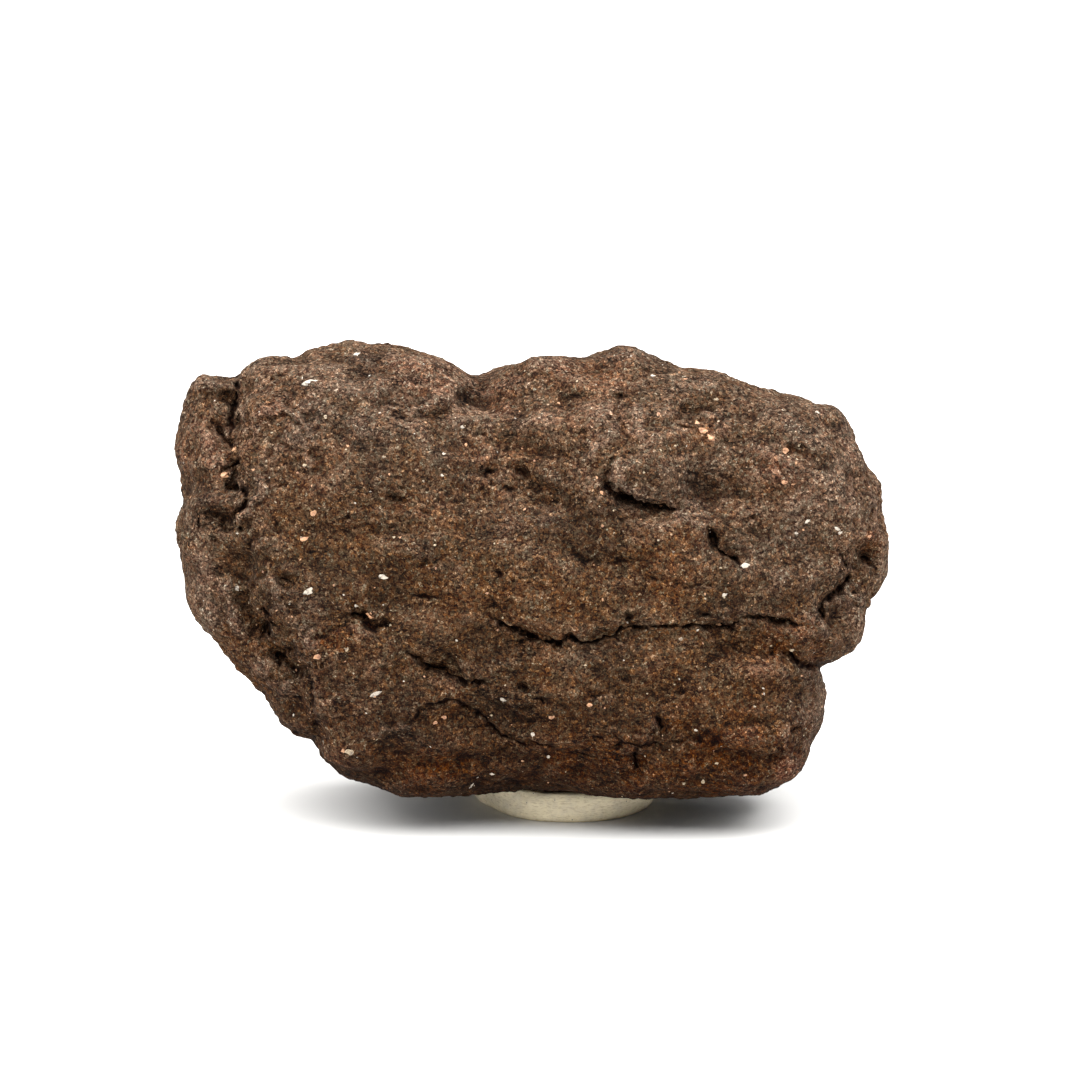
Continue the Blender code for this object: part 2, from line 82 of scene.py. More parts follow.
# Relief along the layers, each kind with its sizes in millimetres and its shift in the noise. Swells
# then have a height, creases a height and what is added where the stone is rough and where it is
# broken, and pocks the level of noise that they start at and a depth
BROAD_SWELLS = ((3.4, 1.9, 3.0), 5.1, 0.12)
FINE_SWELLS = ((0.50, 0.42, 0.50), 41.7, 0.055)
CREASES = [
    ((2.0, 1.2, 1.8), 17.3, 0.11, 0.28, 0.2),
    ((0.95, 0.70, 0.95), 29.9, 0.09, 0.18, 0.0),
]
ROUGH_POCKS = ((1.1, 0.8, 1.1), 63.1, 0.30, 0.30)
BROKEN_POCKS = ((1.5, 1.0, 1.5), 88.3, 0.10, 0.45)

# Round chondrules under the crust: spacing and height in millimetres
KNOB_SPACING = 1.25
KNOB_HEIGHT = 0.07

# Painted shade low on the stone and on its underside, and paling near the top, by height in millimetres:
# where each ends or starts, and over what range it grows
DARK_FOOT = (23.0, 21.0)
UNDERSIDE = (12.0, 8.0)
PALER_TOP = (26.0, 12.0)

# Soft boxes in metres: setting that holds the power, place, sides
SOFT_BOXES = [
    ("top_lamp", (0.0, -0.4, 1.4), (3.0, 2.0)),
    ("left_lamp", (-1.2, -0.3, 0.6), (0.9, 0.9)),
    ("right_lamp", (1.2, -0.1, 0.8), (0.9, 0.9)),
]
LAMP_AIM = (0.0, 0.0, 0.02)
TABLE_SIDE = 6.0

# The pressed putty: mesh step in millimetres, rounds of smoothing, and its dents, each with its sizes
# in millimetres, shift and height
PUTTY_STEP = 0.12
PUTTY_ROUNDS = 20
PUTTY_DENTS = [((2.2, 2.2, 1.2), 3.0, 0.10), ((0.8, 0.8, 0.35), 9.0, 0.04)]

# Layout of the material nodes, and settings that several of them share
FIRST_COLUMN = -2800
COLUMN_WIDTH = 200
ROW_HEIGHT = 300
MULTIPLY_COLOURS = {"data_type": "RGBA", "blend_type": "MULTIPLY"}
MULTIPLY_ADD = {"operation": "MULTIPLY_ADD"}

# Cracks of the front: line of (across, up), half width, depth, how far they slant up under their lip
FRONT_CRACKS = [
    ([(-28.3, 15.0), (-28.6, 11.3), (-28.8, 8.5)], 0.34, 0.94, 0.0),
    ([(-29.9, 10.8), (-29.2, 9.0), (-29.1, 8.7)], 0.27, 0.94, 0.1),
    ([(-29.0, 7.3), (-27.9, 7.3)], 0.24, 0.77, 0.1),
    ([(-27.7, 5.2), (-27.4, 3.9), (-28.2, 2.4), (-28.6, 0.7)], 0.24, 1.02, 0.0),
    ([(-32.2, 3.0), (-31.7, 0.4)], 0.20, 0.51, 0.0),
    ([(-27.1, 0.0), (-26.9, -1.2)], 0.20, 0.51, 0.0),
    ([(6.9, 7.9), (6.4, 6.0), (5.8, 4.9)], 0.20, 0.42, 0.0),
    ([(7.6, 14.0), (7.2, 12.5), (7.6, 10.7), (8.6, 9.3)], 0.30, 0.22, 0.0),
    ([(6.1, 5.4), (6.7, 4.2), (8.2, 3.6), (9.6, 3.3), (11.0, 3.0), (13.0, 2.8)], 0.29, 1.44, 0.4),
    ([(15.8, 1.3), (16.1, 0.0), (16.4, -0.6)], 0.26, 1.10, 0.1),
    ([(16.2, -0.5), (17.0, -1.3), (17.8, -1.6), (18.7, -2.4)], 0.15, 0.90, 0.2),
    ([(-4.4, -7.3), (-2.8, -8.3), (-1.9, -8.5), (-0.6, -9.0), (0.4, -9.4), (1.8, -9.5), (3.0, -9.1),
      (4.0, -9.7), (6.3, -9.2), (7.0, -8.8), (8.2, -8.0), (8.9, -8.2), (9.8, -8.3)], 0.17, 0.80, 0.3),
    ([(8.6, -8.2), (12.3, -8.2), (13.9, -8.1), (15.8, -8.0), (18.0, -7.9), (19.4, -7.3), (21.0, -7.2),
      (23.3, -7.9), (24.3, -7.9)], 0.12, 0.60, 0.3),
    ([(8.5, -6.9), (8.4, -7.9)], 0.22, 0.94, 0.0),
    ([(14.8, -6.7), (16.0, -7.3)], 0.16, 0.51, 0.1),
    ([(17.2, -6.2), (18.1, -6.5)], 0.14, 0.38, 0.1),
    ([(21.1, -7.3), (23.5, -8.0)], 0.23, 0.85, 0.3),
    ([(-12.5, -10.6), (-11.3, -11.4), (-9.6, -12.2), (-7.6, -12.9), (-4.8, -13.6)], 0.19, 0.60, 0.3),
    ([(-0.6, -14.9), (0.9, -15.2)], 0.17, 0.47, 0.1),
    ([(11.1, -16.1), (11.5, -17.5), (11.3, -18.5)], 0.17, 0.68, 0.0),
    ([(5.0, -18.1), (6.3, -18.3)], 0.26, 0.77, 0.1),
    ([(7.0, -19.1), (7.9, -19.3)], 0.23, 0.68, 0.1),
    ([(9.1, -19.3), (8.9, -20.1), (8.9, -21.1)], 0.24, 1.19, 0.0),
    ([(3.2, -20.1), (5.6, -20.1)], 0.14, 0.34, 0.1),
    ([(-11.9, -16.8), (-11.3, -15.9), (-9.6, -15.2), (-7.6, -15.1), (-6.0, -16.1), (-4.8, -17.1),
      (-3.6, -18.3), (-1.5, -19.1), (1.7, -19.3)], 0.14, 0.36, 0.2),
    ([(6.3, -17.9), (7.5, -18.9), (9.4, -19.3), (11.3, -18.9)], 0.19, 0.42, 0.1),
    ([(13.9, -18.5), (17.4, -18.5)], 0.48, 0.38, 0.0),
    ([(-24.0, -3.6), (-22.8, -4.1)], 0.24, 0.77, 0.1),
    ([(-12.0, -5.1), (-9.2, -5.5)], 0.14, 0.30, 0.1),
    ([(-13.1, 0.9), (-11.8, 0.7)], 0.11, 0.26, 0.0),
    ([(-4.2, -2.7), (-3.5, -3.6)], 0.14, 0.42, 0.0),
    ([(-4.6, -5.3), (-4.2, -6.1)], 0.24, 0.51, 0.0),
    ([(-17.8, -6.5), (-16.5, -7.1), (-15.3, -8.8)], 0.37, 0.68, 0.0),
    ([(-25.7, -5.9), (-25.2, -8.6), (-24.9, -9.8)], 0.26, 0.60, 0.0),
    ([(-21.2, -12.4), (-21.3, -14.9), (-21.0, -16.9), (-20.6, -18.1)], 0.34, 0.45, 0.0),
    ([(-5.6, 6.2), (-4.9, 6.1), (-4.2, 5.9)], 0.24, 0.51, 0.1),
    ([(-2.5, 6.7), (-1.8, 6.4), (-1.0, 5.8)], 0.20, 0.51, 0.1),
    ([(-3.5, 5.2), (-2.3, 4.1)], 0.17, 0.34, 0.0),
    ([(28.1, -1.0), (28.7, -2.1), (28.5, -2.8)], 0.29, 1.02, 0.0),
    ([(29.9, -1.2), (30.7, -2.2)], 0.29, 0.85, 0.0),
    ([(28.9, -3.0), (28.3, -4.2), (27.1, -5.1), (26.2, -6.7), (25.8, -7.7)], 0.23, 0.85, 0.0),
    ([(22.9, -10.4), (24.5, -12.0), (25.9, -11.7)], 0.31, 0.77, 0.1),
    ([(15.2, 9.5), (16.4, 9.0)], 0.20, 0.50, 0.1),
    ([(-14.7, 12.1), (-12.4, 11.5), (-10.2, 11.5)], 0.30, 0.40, 0.1),
    ([(12.6, 10.9), (14.4, 10.4)], 0.18, 0.40, 0.1),
    ([(3.0, -1.6), (6.0, -2.1), (9.5, -1.9)], 0.20, 0.21, 0.1),
    ([(9.3, -3.3), (14.0, -4.4), (18.7, -4.2)], 0.17, 0.21, 0.1),
]

# Thin raised rims of the front: line, half width, height
FRONT_RIMS = [
    ([(-25.6, 5.6), (-26.6, 3.9), (-27.9, 1.9)], 0.35, 0.55),
    ([(-29.1, 5.1), (-27.9, 5.4), (-27.5, 4.0), (-28.7, 2.5)], 0.40, 0.40),
    ([(-28.0, 16.4), (-28.2, 12.8), (-27.7, 10.8)], 0.40, 0.35),
    ([(-6.1, 15.2), (-8.4, 13.6), (-9.6, 12.7), (-12.0, 11.9)], 0.60, 0.60),
    ([(-24.1, 10.2), (-22.0, 8.4), (-21.6, 6.3)], 0.45, 0.40),
    ([(-16.5, -18.3), (-14.5, -17.8), (-11.7, -17.6)], 0.30, 0.30),
    ([(-26.6, 11.7), (-23.8, 12.5), (-22.0, 11.1), (-21.1, 8.7)], 0.50, 0.55),
    ([(31.4, 4.2), (31.5, 2.5), (30.7, 0.2)], 0.35, 0.35),
    ([(29.0, -3.6), (27.8, -6.2)], 0.30, 0.30),
    ([(7.5, 7.6), (7.2, 6.0), (8.6, 4.5), (11.0, 3.9)], 0.45, 0.25),
    ([(-31.0, -1.4), (-32.0, -4.5), (-30.5, -7.4)], 0.55, 0.35),
    ([(-29.6, -3.6), (-29.0, -6.6), (-27.3, -9.6)], 0.50, 0.40),
    ([(-25.4, -3.0), (-24.6, -6.0), (-22.4, -8.6), (-21.0, -10.5)], 0.50, 0.50),
    ([(-27.0, -10.6), (-25.4, -13.0), (-22.8, -14.6)], 0.45, 0.40),
    ([(4.0, 7.6), (6.2, 9.4), (7.0, 10.6)], 0.45, 0.30),
    ([(8.8, 12.8), (9.2, 10.8), (9.9, 9.0)], 0.45, 0.35),
    ([(11.5, 4.4), (13.4, 1.9), (15.3, 1.3)], 0.50, 0.35),
]

# Pits of the front: middle, half widths, depth
FRONT_PITS = [
    ((-29.3, 1.5), (1.5, 0.9), 0.9), ((-26.9, -7.4), (0.5, 1.2), 0.5), ((-25.6, -8.6), (0.5, 1.0), 0.5),
    ((-24.0, -10.2), (0.9, 0.5), 0.5), ((-22.3, -12.2), (0.9, 0.6), 0.6), ((-25.3, 9.9), (1.6, 1.3), 0.35),
    ((-23.4, -10.9), (0.4, 0.9), 0.4), ((-9.6, -11.9), (0.9, 0.4), 0.8),
    ((1.1, -9.6), (1.1, 0.45), 0.9), ((-1.5, -13.8), (0.6, 0.3), 0.45), ((19.8, 2.1), (0.4, 0.3), 0.4),
    ((21.5, -10.9), (0.5, 0.4), 0.5), ((-30.8, 13.4), (0.5, 0.8), 0.4), ((-10.8, -2.3), (0.4, 0.3), 0.4),
    ((24.0, 8.0), (1.0, 0.7), 0.5), ((20.2, -17.0), (0.9, 0.7), 0.4), ((13.0, -14.2), (1.0, 0.6), 0.4),
    ((-14.6, -7.9), (0.6, 0.4), 0.6), ((10.5, 14.4), (0.6, 0.3), 0.4), ((7.5, 13.5), (0.7, 0.3), 0.4),
]

# Low swellings of the front, and hollows where the height is below zero: middle, half widths, height
FRONT_LUMPS = [
    ((9.8, 1.6), (3.4, 1.3), 0.4), ((9.2, 6.2), (1.7, 1.3), -0.35), ((3.6, -0.3), (1.1, 0.8), 0.4),
]

# Where the front is crumbly: middle, half widths, share
ROUGH_PLACES = [
    ((-26.6, -6.6), (2.6, 4.2), 1.0), ((-23.6, -11.0), (2.8, 3.2), 1.0), ((-28.6, 7.0), (1.6, 6.5), 0.8),
    ((29.2, -3.8), (2.0, 4.5), 0.8), ((-4.4, 5.6), (2.6, 1.4), 0.7), ((20.0, -9.0), (5.0, 1.6), 0.6),
    ((-9.5, -12.0), (5.0, 1.6), 0.8), ((-17.0, -7.5), (3.5, 1.8), 0.9), ((10.5, 3.4), (3.6, 1.2), 0.7),
    ((10.5, -18.8), (5.0, 1.8), 0.7), ((-3.0, -16.0), (4.0, 2.2), 0.6), ((15.0, 11.5), (4.0, 2.2), 0.6),
]

# Cracks and pits of the back, in the same terms
BACK_CRACKS = [
    ([(-26.0, -2.2), (-23.4, -1.4), (-21.0, -1.9), (-18.2, -0.9), (-15.4, -1.6)], 0.16, 0.60, 0.3),
    ([(-9.0, -3.9), (-6.6, -3.2), (-3.8, -3.7), (-0.6, -2.6), (2.8, -2.9)], 0.14, 0.50, 0.3),
    ([(9.6, -3.8), (12.4, -4.9), (14.8, -4.6), (17.6, -5.6), (19.4, -5.2)], 0.17, 0.62, 0.3),
    ([(-13.2, 12.9), (-10.8, 12.3), (-8.6, 12.8), (-5.4, 11.7)], 0.15, 0.40, 0.2),
    ([(-14.4, -12.9), (-11.8, -12.2), (-9.0, -12.6), (-5.8, -11.8)], 0.17, 0.55, 0.3),
    ([(2.6, -14.3), (6.2, -13.4), (9.8, -13.9), (12.4, -13.0)], 0.15, 0.45, 0.3),
    ([(-15.6, 5.9), (-13.8, 4.2), (-11.2, 4.0), (-9.6, 2.7)], 0.15, 0.45, 0.1),
    ([(9.6, 2.3), (12.0, 1.1), (14.4, 1.4), (17.0, 0.2)], 0.16, 0.50, 0.2),
    ([(20.9, 5.2), (21.6, 3.2), (20.8, 1.7)], 0.17, 0.45, 0.0),
]
BACK_PITS = [
    ((-22.0, 2.0), (1.1, 0.5), 0.5), ((-14.0, -2.5), (0.9, 0.6), 0.5), ((1.0, 5.0), (1.3, 0.5), 0.5),
    ((13.0, 7.0), (0.9, 0.5), 0.45), ((9.0, -10.0), (1.2, 0.5), 0.5), ((-8.0, -15.0), (0.9, 0.4), 0.45),
    ((22.0, -12.0), (0.6, 0.9), 0.45), ((20.0, -1.5), (1.0, 0.5), 0.5),
]

# Rusty and dusty grey stains of the front: middle, half widths, strength
RUST_STAINS = [
    ((-10.3, 15.3), (3.6, 2.0), 0.5), ((18.0, -21.5), (9.0, 3.2), 0.9), ((8.0, -21.0), (6.0, 2.4), 0.6),
    ((-8.0, -21.5), (6.0, 2.0), 0.55), ((15.4, 10.2), (1.2, 1.0), 0.9), ((22.0, 7.0), (2.6, 1.8), 0.45),
    ((3.5, 16.0), (5.0, 1.6), 0.4), ((11.0, -3.0), (5.0, 3.0), 0.15), ((24.0, -9.8), (3.0, 1.6), 0.6),
    ((31.0, -0.2), (0.9, 1.4), 0.8), ((-19.5, -9.6), (2.2, 1.0), 0.55), ((-24.5, 13.0), (2.0, 2.0), 0.2),
    ((-30.5, 7.2), (2.0, 3.0), 0.35), ((13.2, -17.6), (2.0, 1.4), 0.5),
]
GREY_STAINS = [
    ((25.0, 3.0), (6.0, 7.5), 0.8), ((29.0, 6.5), (2.0, 5.0), 0.9), ((25.6, -16.5), (1.2, 4.5), 1.0),
    ((24.0, -21.6), (2.4, 1.6), 1.0), ((15.8, 5.0), (5.0, 2.6), 0.6), ((-31.2, -4.0), (1.8, 5.5), 1.0),
    ((-20.5, 13.5), (5.0, 2.5), 0.5), ((-6.0, 13.0), (2.4, 3.4), 0.7), ((-18.0, -14.5), (4.0, 4.0), 0.45),
    ((29.0, -7.2), (1.8, 2.6), 0.9), ((-25.6, 4.0), (1.2, 2.6), 0.5), ((-21.5, -7.0), (1.6, 2.2), 0.6),
    ((22.0, -2.0), (6.0, 4.0), 0.5), ((-9.5, 14.8), (3.2, 1.8), 0.7),
]

# Pale grains seen on the front: (across, up), length, breadth, turn in degrees
WHITE_FLAKES = [
    ((-21.6, 14.7), 1.3, 0.55, 10), ((-17.2, 17.3), 0.7, 0.5, 20), ((-21.5, -4.9), 1.3, 0.7, 25),
    ((-14.8, -3.5), 0.9, 0.6, -5), ((-28.3, -4.6), 0.65, 0.6, 0), ((19.1, -2.5), 0.8, 0.6, 20),
    ((27.7, 1.0), 0.6, 0.4, -20), ((28.0, 0.6), 0.45, 0.4, 30), ((25.0, 1.7), 0.55, 0.35, 40),
    ((17.2, -5.2), 0.5, 0.4, 30), ((23.9, 0.6), 0.35, 0.3, 0), ((-15.4, -14.5), 1.1, 0.5, 35),
    ((-3.5, -14.9), 0.75, 0.65, 0), ((-0.7, -18.2), 0.5, 0.45, 0), ((0.8, -20.3), 0.5, 0.4, 20),
    ((-6.4, -23.0), 0.7, 0.3, 60), ((-4.5, -21.9), 0.4, 0.35, 0), ((25.9, 11.9), 0.4, 0.35, 10),
    ((14.5, -17.8), 0.35, 0.3, 0), ((-17.2, -6.2), 0.4, 0.35, 0), ((10.5, 15.3), 0.5, 0.4, 15),
    ((-9.2, 6.0), 0.35, 0.3, 0), ((-9.0, 8.0), 0.4, 0.3, 30), ((-7.3, 10.5), 0.4, 0.35, 0),
]
CREAM_GRAINS = [
    ((-17.7, -19.7), 0.85, 0.75, 0), ((-20.1, 11.5), 0.4, 0.4, 0), ((-22.0, 6.9), 0.4, 0.4, 0),
    ((-14.0, -8.0), 0.5, 0.45, 0), ((-18.0, -10.1), 0.6, 0.4, 70), ((13.2, -9.3), 0.45, 0.45, 0),
    ((23.6, -10.3), 0.6, 0.5, 0), ((17.2, -5.3), 0.35, 0.35, 0), ((16.5, -20.8), 0.35, 0.35, 0),
    ((15.3, -22.6), 0.45, 0.45, 0), ((13.4, -22.7), 0.45, 0.4, 0), ((24.2, 8.8), 0.35, 0.35, 0),
    ((16.5, 13.2), 0.5, 0.3, -20), ((-13.6, 0.3), 0.3, 0.3, 0), ((-14.6, 7.7), 0.35, 0.3, 0),
]
PEACH_GRAINS = [
    ((-29.4, 6.2), 0.85, 0.75, 20), ((-21.1, 2.4), 0.75, 0.6, 40), ((-22.1, 0.0), 0.8, 0.6, 25),
    ((-20.8, -10.8), 0.7, 0.6, 0), ((15.4, 10.2), 1.1, 0.75, 10), ((14.8, 10.9), 0.6, 0.5, 0),
    ((16.1, 9.6), 0.8, 0.7, 0), ((22.8, 8.4), 0.8, 0.55, 0), ((22.8, 5.3), 0.6, 0.45, 0),
    ((-6.9, 8.8), 0.5, 0.45, 0), ((1.1, -16.6), 0.7, 0.6, 30), ((4.6, -15.5), 0.5, 0.45, 0),
    ((-9.8, -17.0), 0.45, 0.4, 0), ((-8.9, -16.5), 0.5, 0.45, 0), ((16.8, -7.9), 0.8, 0.45, 0),
    ((-18.4, -19.6), 0.5, 0.4, 90), ((-28.6, 8.4), 0.7, 0.5, 0), ((30.8, 0.4), 0.5, 0.4, 0),
    ((11.0, 11.8), 0.45, 0.4, 0), ((13.6, 15.0), 0.4, 0.35, 0), ((5.7, 4.4), 0.4, 0.35, 0),
    ((19.1, -22.0), 0.4, 0.4, 0), ((11.3, 3.1), 0.5, 0.4, 0), ((-15.9, -7.1), 0.7, 0.65, 0),
]


def linear(hex_colour):
    """An sRGB hex colour as linear red, green, blue and alpha."""
    shares = [int(hex_colour[at:at + 2], 16) / 255.0 for at in (1, 3, 5)]
    return tuple(share / 12.92 if share <= 0.04045 else ((share + 0.055) / 1.055) ** 2.4
                 for share in shares) + (1.0,)


def swatch(name, description, hex_colour):
    """A colour setting."""
    return bpy.props.FloatVectorProperty(name=name, description=description, subtype="COLOR", size=4,
                                         min=0.0, max=1.0, default=linear(hex_colour))


def length(name, description, millimetres):
    """A size setting, kept in metres."""
    return bpy.props.FloatProperty(name=name, description=description, unit="LENGTH", precision=5,
                                   default=millimetres * MM)


def amount(name, description, value, unit="NONE"):
    """A number setting, such as a strength, or a power in watts."""
    return bpy.props.FloatProperty(name=name, description=description, unit=unit, default=value, min=0.0)


def number(name, description, value):
    """A whole number setting."""
    return bpy.props.IntProperty(name=name, description=description, default=value, min=0)


class StoneLooks(bpy.types.PropertyGroup):
    """Sizes and colours of the weathered stone."""
    mesh_step: length("Mesh step", "Spacing of the fine mesh before it is thinned", 0.18)
    faces: number("Faces", "Triangles of the finished stone", 196000)
    relief: amount("Relief", "Strength of the natural roughness", 1.0)
    grain: length("Grain", "Width of the grains of the crust", 0.24)
    dark: swatch("Dark grains", "Oxide-stained matrix between the grains", "#160a04")
    brown: swatch("Brown", "The body of the weathered crust", "#433222")
    tan: swatch("Tan grains", "Weathered silicate grains", "#6d5b46")
    pale: swatch("Pale grains", "Fresh silicate grains", "#a09180")
    # Tint of the painted shade in crevices, cracks and on the lower stone
    soot: swatch("Painted crevice shade", "Tint of the shade painted into cracks, hollows, under ledges and low on the stone", "#593f2a")


class GrainLooks(bpy.types.PropertyGroup):
    """Grains that stand out of the stone."""
    scattered: number("Scattered grains", "Small grains of each kind on all sides", 260)
    white: swatch("Flakes", "White feldspar flakes", "#9c9284")
    cream: swatch("Cream grains", "Cream chondrules", "#8f7e64")
    peach: swatch("Peach grains", "Rust-tinted chondrules", "#9b7250")


class PuttyLooks(bpy.types.PropertyGroup):
    """The pad of putty."""
    body: swatch("Putty", "Body of the putty", "#faecca")
    shade: swatch("Handled putty", "Putty greyed by handling", "#e2d5b8")


class StageLooks(bpy.types.PropertyGroup):
    """Table, light and camera."""
    table: swatch("Table", "White table", "#d2d1cf")
    sky: amount("Surround", "Brightness of the white surround", 0.2)
    top_lamp: amount("Top soft box", "Power of the soft box above", 158.0, "POWER")
    left_lamp: amount("Left soft box", "Power of the soft box on the left", 13.0, "POWER")
    right_lamp: amount("Right soft box", "Power of the soft box on the right", 10.0, "POWER")


def add_node(tree, kind, settings=None, inputs=None, stops=None):
    """Add a node of this kind to the right of the nodes that feed it.

    Settings are its own values, inputs are values or sockets to link, and stops are a ramp's.
    """
    node = tree.nodes.new("ShaderNode" + kind)
    column = FIRST_COLUMN
    for name, value in (settings or {}).items():
        setattr(node, name, value)
    for name, value in (inputs or {}).items():
        socket = node.inputs[name]
        if isinstance(value, bpy.types.NodeSocket):
            tree.links.new(value, socket)
            column = max(column, value.node.location.x + COLUMN_WIDTH)
        else:
            socket.default_value = value
    if stops:
        elements = node.color_ramp.elements
        while len(elements) < len(stops):
            elements.new(1.0)
        for element, (position, colour) in zip(elements, stops):
            element.position = position
            element.color = linear(colour) if isinstance(colour, str) else colour
    row = sum(other.location.x == column for other in tree.nodes)
    node.location = (column, -ROW_HEIGHT * row)
    return node


def new_material(name):
    """A material with nothing but its Principled shader and output."""
    material = bpy.data.materials.new(name)
    material.use_nodes = True
    return material, material.node_tree, material.node_tree.nodes["Principled BSDF"]


def places_in_mm(tree):
    """The object's own coordinates in millimetres, for patterns at their real size."""
    coordinates = add_node(tree, "TexCoord").outputs["Object"]
    return add_node(tree, "Mapping", inputs={
        "Vector": coordinates, "Scale": (1.0 / MM,) * 3}).outputs["Vector"]


def crust_grains(tree, in_mm):
    """The crust's grains: drawn tone and drawn hue, each from 0 to 1, and the height of the grit."""
    looks = bpy.context.scene.stone_looks
    grain_mm = looks.grain / MM
    wobble_mm = 0.40
    bend_mm = 0.35
    crumb_mm = 0.70
    powder_mm = 0.14
    wobble = add_node(tree, "TexNoise", inputs={
        "Vector": in_mm, "Scale": 1.0 / wobble_mm, "Detail": 2.0}).outputs["Color"]
    bent = add_node(tree, "VectorMath", MULTIPLY_ADD,
                    {0: wobble, 1: (bend_mm,) * 3, 2: in_mm}).outputs["Vector"]
    grains = add_node(tree, "TexVoronoi", {"feature": "F1"}, {"Vector": bent, "Scale": 1.0 / grain_mm})
    draw = add_node(tree, "SeparateColor", inputs={"Color": grains.outputs["Color"]})
    crumbs = add_node(tree, "TexNoise", inputs={
        "Vector": bent, "Scale": 1.0 / crumb_mm, "Detail": 4.0, "Roughness": 0.70}).outputs["Fac"]
    fines = add_node(tree, "TexNoise", inputs={
        "Vector": in_mm, "Scale": 1.0 / powder_mm, "Detail": 2.5, "Roughness": 0.6}).outputs["Fac"]
    clumped = add_node(tree, "MapRange", inputs={
        "Value": crumbs, "From Min": 0.34, "From Max": 0.66}).outputs["Result"]
    powder = add_node(tree, "MapRange", inputs={
        "Value": fines, "From Min": 0.30, "From Max": 0.70}).outputs["Result"]
    part = add_node(tree, "Math", {"operation": "MULTIPLY"}, {0: powder, 1: 0.46}).outputs[0]
    part = add_node(tree, "Math", MULTIPLY_ADD, {0: clumped, 1: 0.15, 2: part}).outputs[0]
    tone = add_node(tree, "Math", MULTIPLY_ADD, {0: draw.outputs["Red"], 1: 0.41, 2: part}).outputs[0]
    domed = add_node(tree, "Math", MULTIPLY_ADD,
                     {0: grains.outputs["Distance"], 1: -0.45, 2: draw.outputs["Green"]}).outputs[0]
    grit = add_node(tree, "Math", MULTIPLY_ADD, {0: crumbs, 1: 2.6, 2: domed}).outputs[0]
    grit = add_node(tree, "Math", {"operation": "ADD"}, {0: fines, 1: grit}).outputs[0]
    return tone, draw.outputs["Blue"], grit


def hair_cracks(tree, in_mm):
    """Share of hair cracks, which run along the layers and come and go."""
    spacing_mm = 1.5
    patch_mm = 2.4
    along_layers = add_node(tree, "Mapping", inputs={
        "Vector": in_mm, "Rotation": (0.0, LAYER_DIP, 0.0), "Scale": (0.30, 0.30, 1.0)}).outputs["Vector"]
    field = add_node(tree, "TexNoise", inputs={
        "Vector": along_layers, "Scale": 1.0 / spacing_mm, "Detail": 5.0, "Roughness": 0.62}).outputs["Fac"]
    lines = add_node(tree, "ValToRGB", inputs={"Fac": field}, stops=[
        (0.484, "#000000"), (0.5, "#ffffff"), (0.516, "#000000")]).outputs["Color"]
    where = add_node(tree, "TexNoise", inputs={
        "Vector": in_mm, "Scale": 1.0 / patch_mm, "Detail": 2.0}).outputs["Fac"]
    held = add_node(tree, "MapRange", inputs={
        "Value": where, "From Min": 0.48, "From Max": 0.60}).outputs["Result"]
    return add_node(tree, "Math", {"operation": "MULTIPLY"}, {0: lines, 1: held}).outputs[0]


def crust_colour(tree, in_mm, tone, hue_draw):
    """The grains' colours from their drawn tone and hue, in broad darker and redder patches."""
    looks = bpy.context.scene.stone_looks
    patch_mm = 6.0
    crust = add_node(tree, "ValToRGB", inputs={"Fac": tone}, stops=[
        (0.20, looks.dark), (0.36, "#2b1b0f"), (0.52, looks.brown), (0.68, "#523f2e"),
        (0.80, looks.tan), (0.93, looks.pale)]).outputs["Color"]
    hues = add_node(tree, "ValToRGB", inputs={"Fac": hue_draw}, stops=[
        (0.10, "#ffe1b4"), (0.45, "#fff7ec"), (0.90, "#dbeaec")]).outputs["Color"]
    patches = add_node(tree, "TexNoise", inputs={
        "Vector": in_mm, "Scale": 1.0 / patch_mm, "Detail": 6.0, "Roughness": 0.66}).outputs["Fac"]
    patch_tone = add_node(tree, "ValToRGB", inputs={"Fac": patches}, stops=[
        (0.34, "#bdb8b6"), (0.50, "#f0ebe6"), (0.66, "#ffeddc")]).outputs["Color"]
    toned = add_node(tree, "Mix", MULTIPLY_COLOURS, {0: 1.0, 6: crust, 7: hues}).outputs[2]
    return add_node(tree, "Mix", MULTIPLY_COLOURS, {0: 1.0, 6: toned, 7: patch_tone}).outputs[2]


def stained_and_shaded_colour(tree, toned, hairs):
    """The colour dusted on rubbed rims, rusted in stains, paled with painted light on the two ends and
    darkened with painted shade in crevices and low down, as the mesh marks them.
    """
    looks = bpy.context.scene.stone_looks
    # Grey bloom of stains, crests and rubbed rims, with painted light on the stone's two ends
    bloom = add_node(tree, "Attribute", {"attribute_name": "bloom"}).outputs["Fac"]
    bloomed_and_lit = add_node(tree, "HueSaturation", inputs={
        "Saturation": 0.76, "Value": 1.75, "Fac": bloom, "Color": toned}).outputs["Color"]
    rust = add_node(tree, "Attribute", {"attribute_name": "rust"}).outputs["Fac"]
    rusty = add_node(tree, "HueSaturation", inputs={
        "Hue": 0.487, "Saturation": 1.2, "Value": 1.15, "Fac": rust, "Color": bloomed_and_lit}).outputs["Color"]
    # Painted shade: crevices, hair cracks and the lower stone are darkened towards a brown tint
    soot = add_node(tree, "Attribute", {"attribute_name": "soot"}).outputs["Fac"]
    soot = add_node(tree, "Math", {"operation": "MULTIPLY_ADD", "use_clamp": True},
                    {0: hairs, 1: 0.8, 2: soot}).outputs[0]
    return add_node(tree, "Mix", MULTIPLY_COLOURS, {0: soot, 6: rusty, 7: looks.soot}).outputs[2]


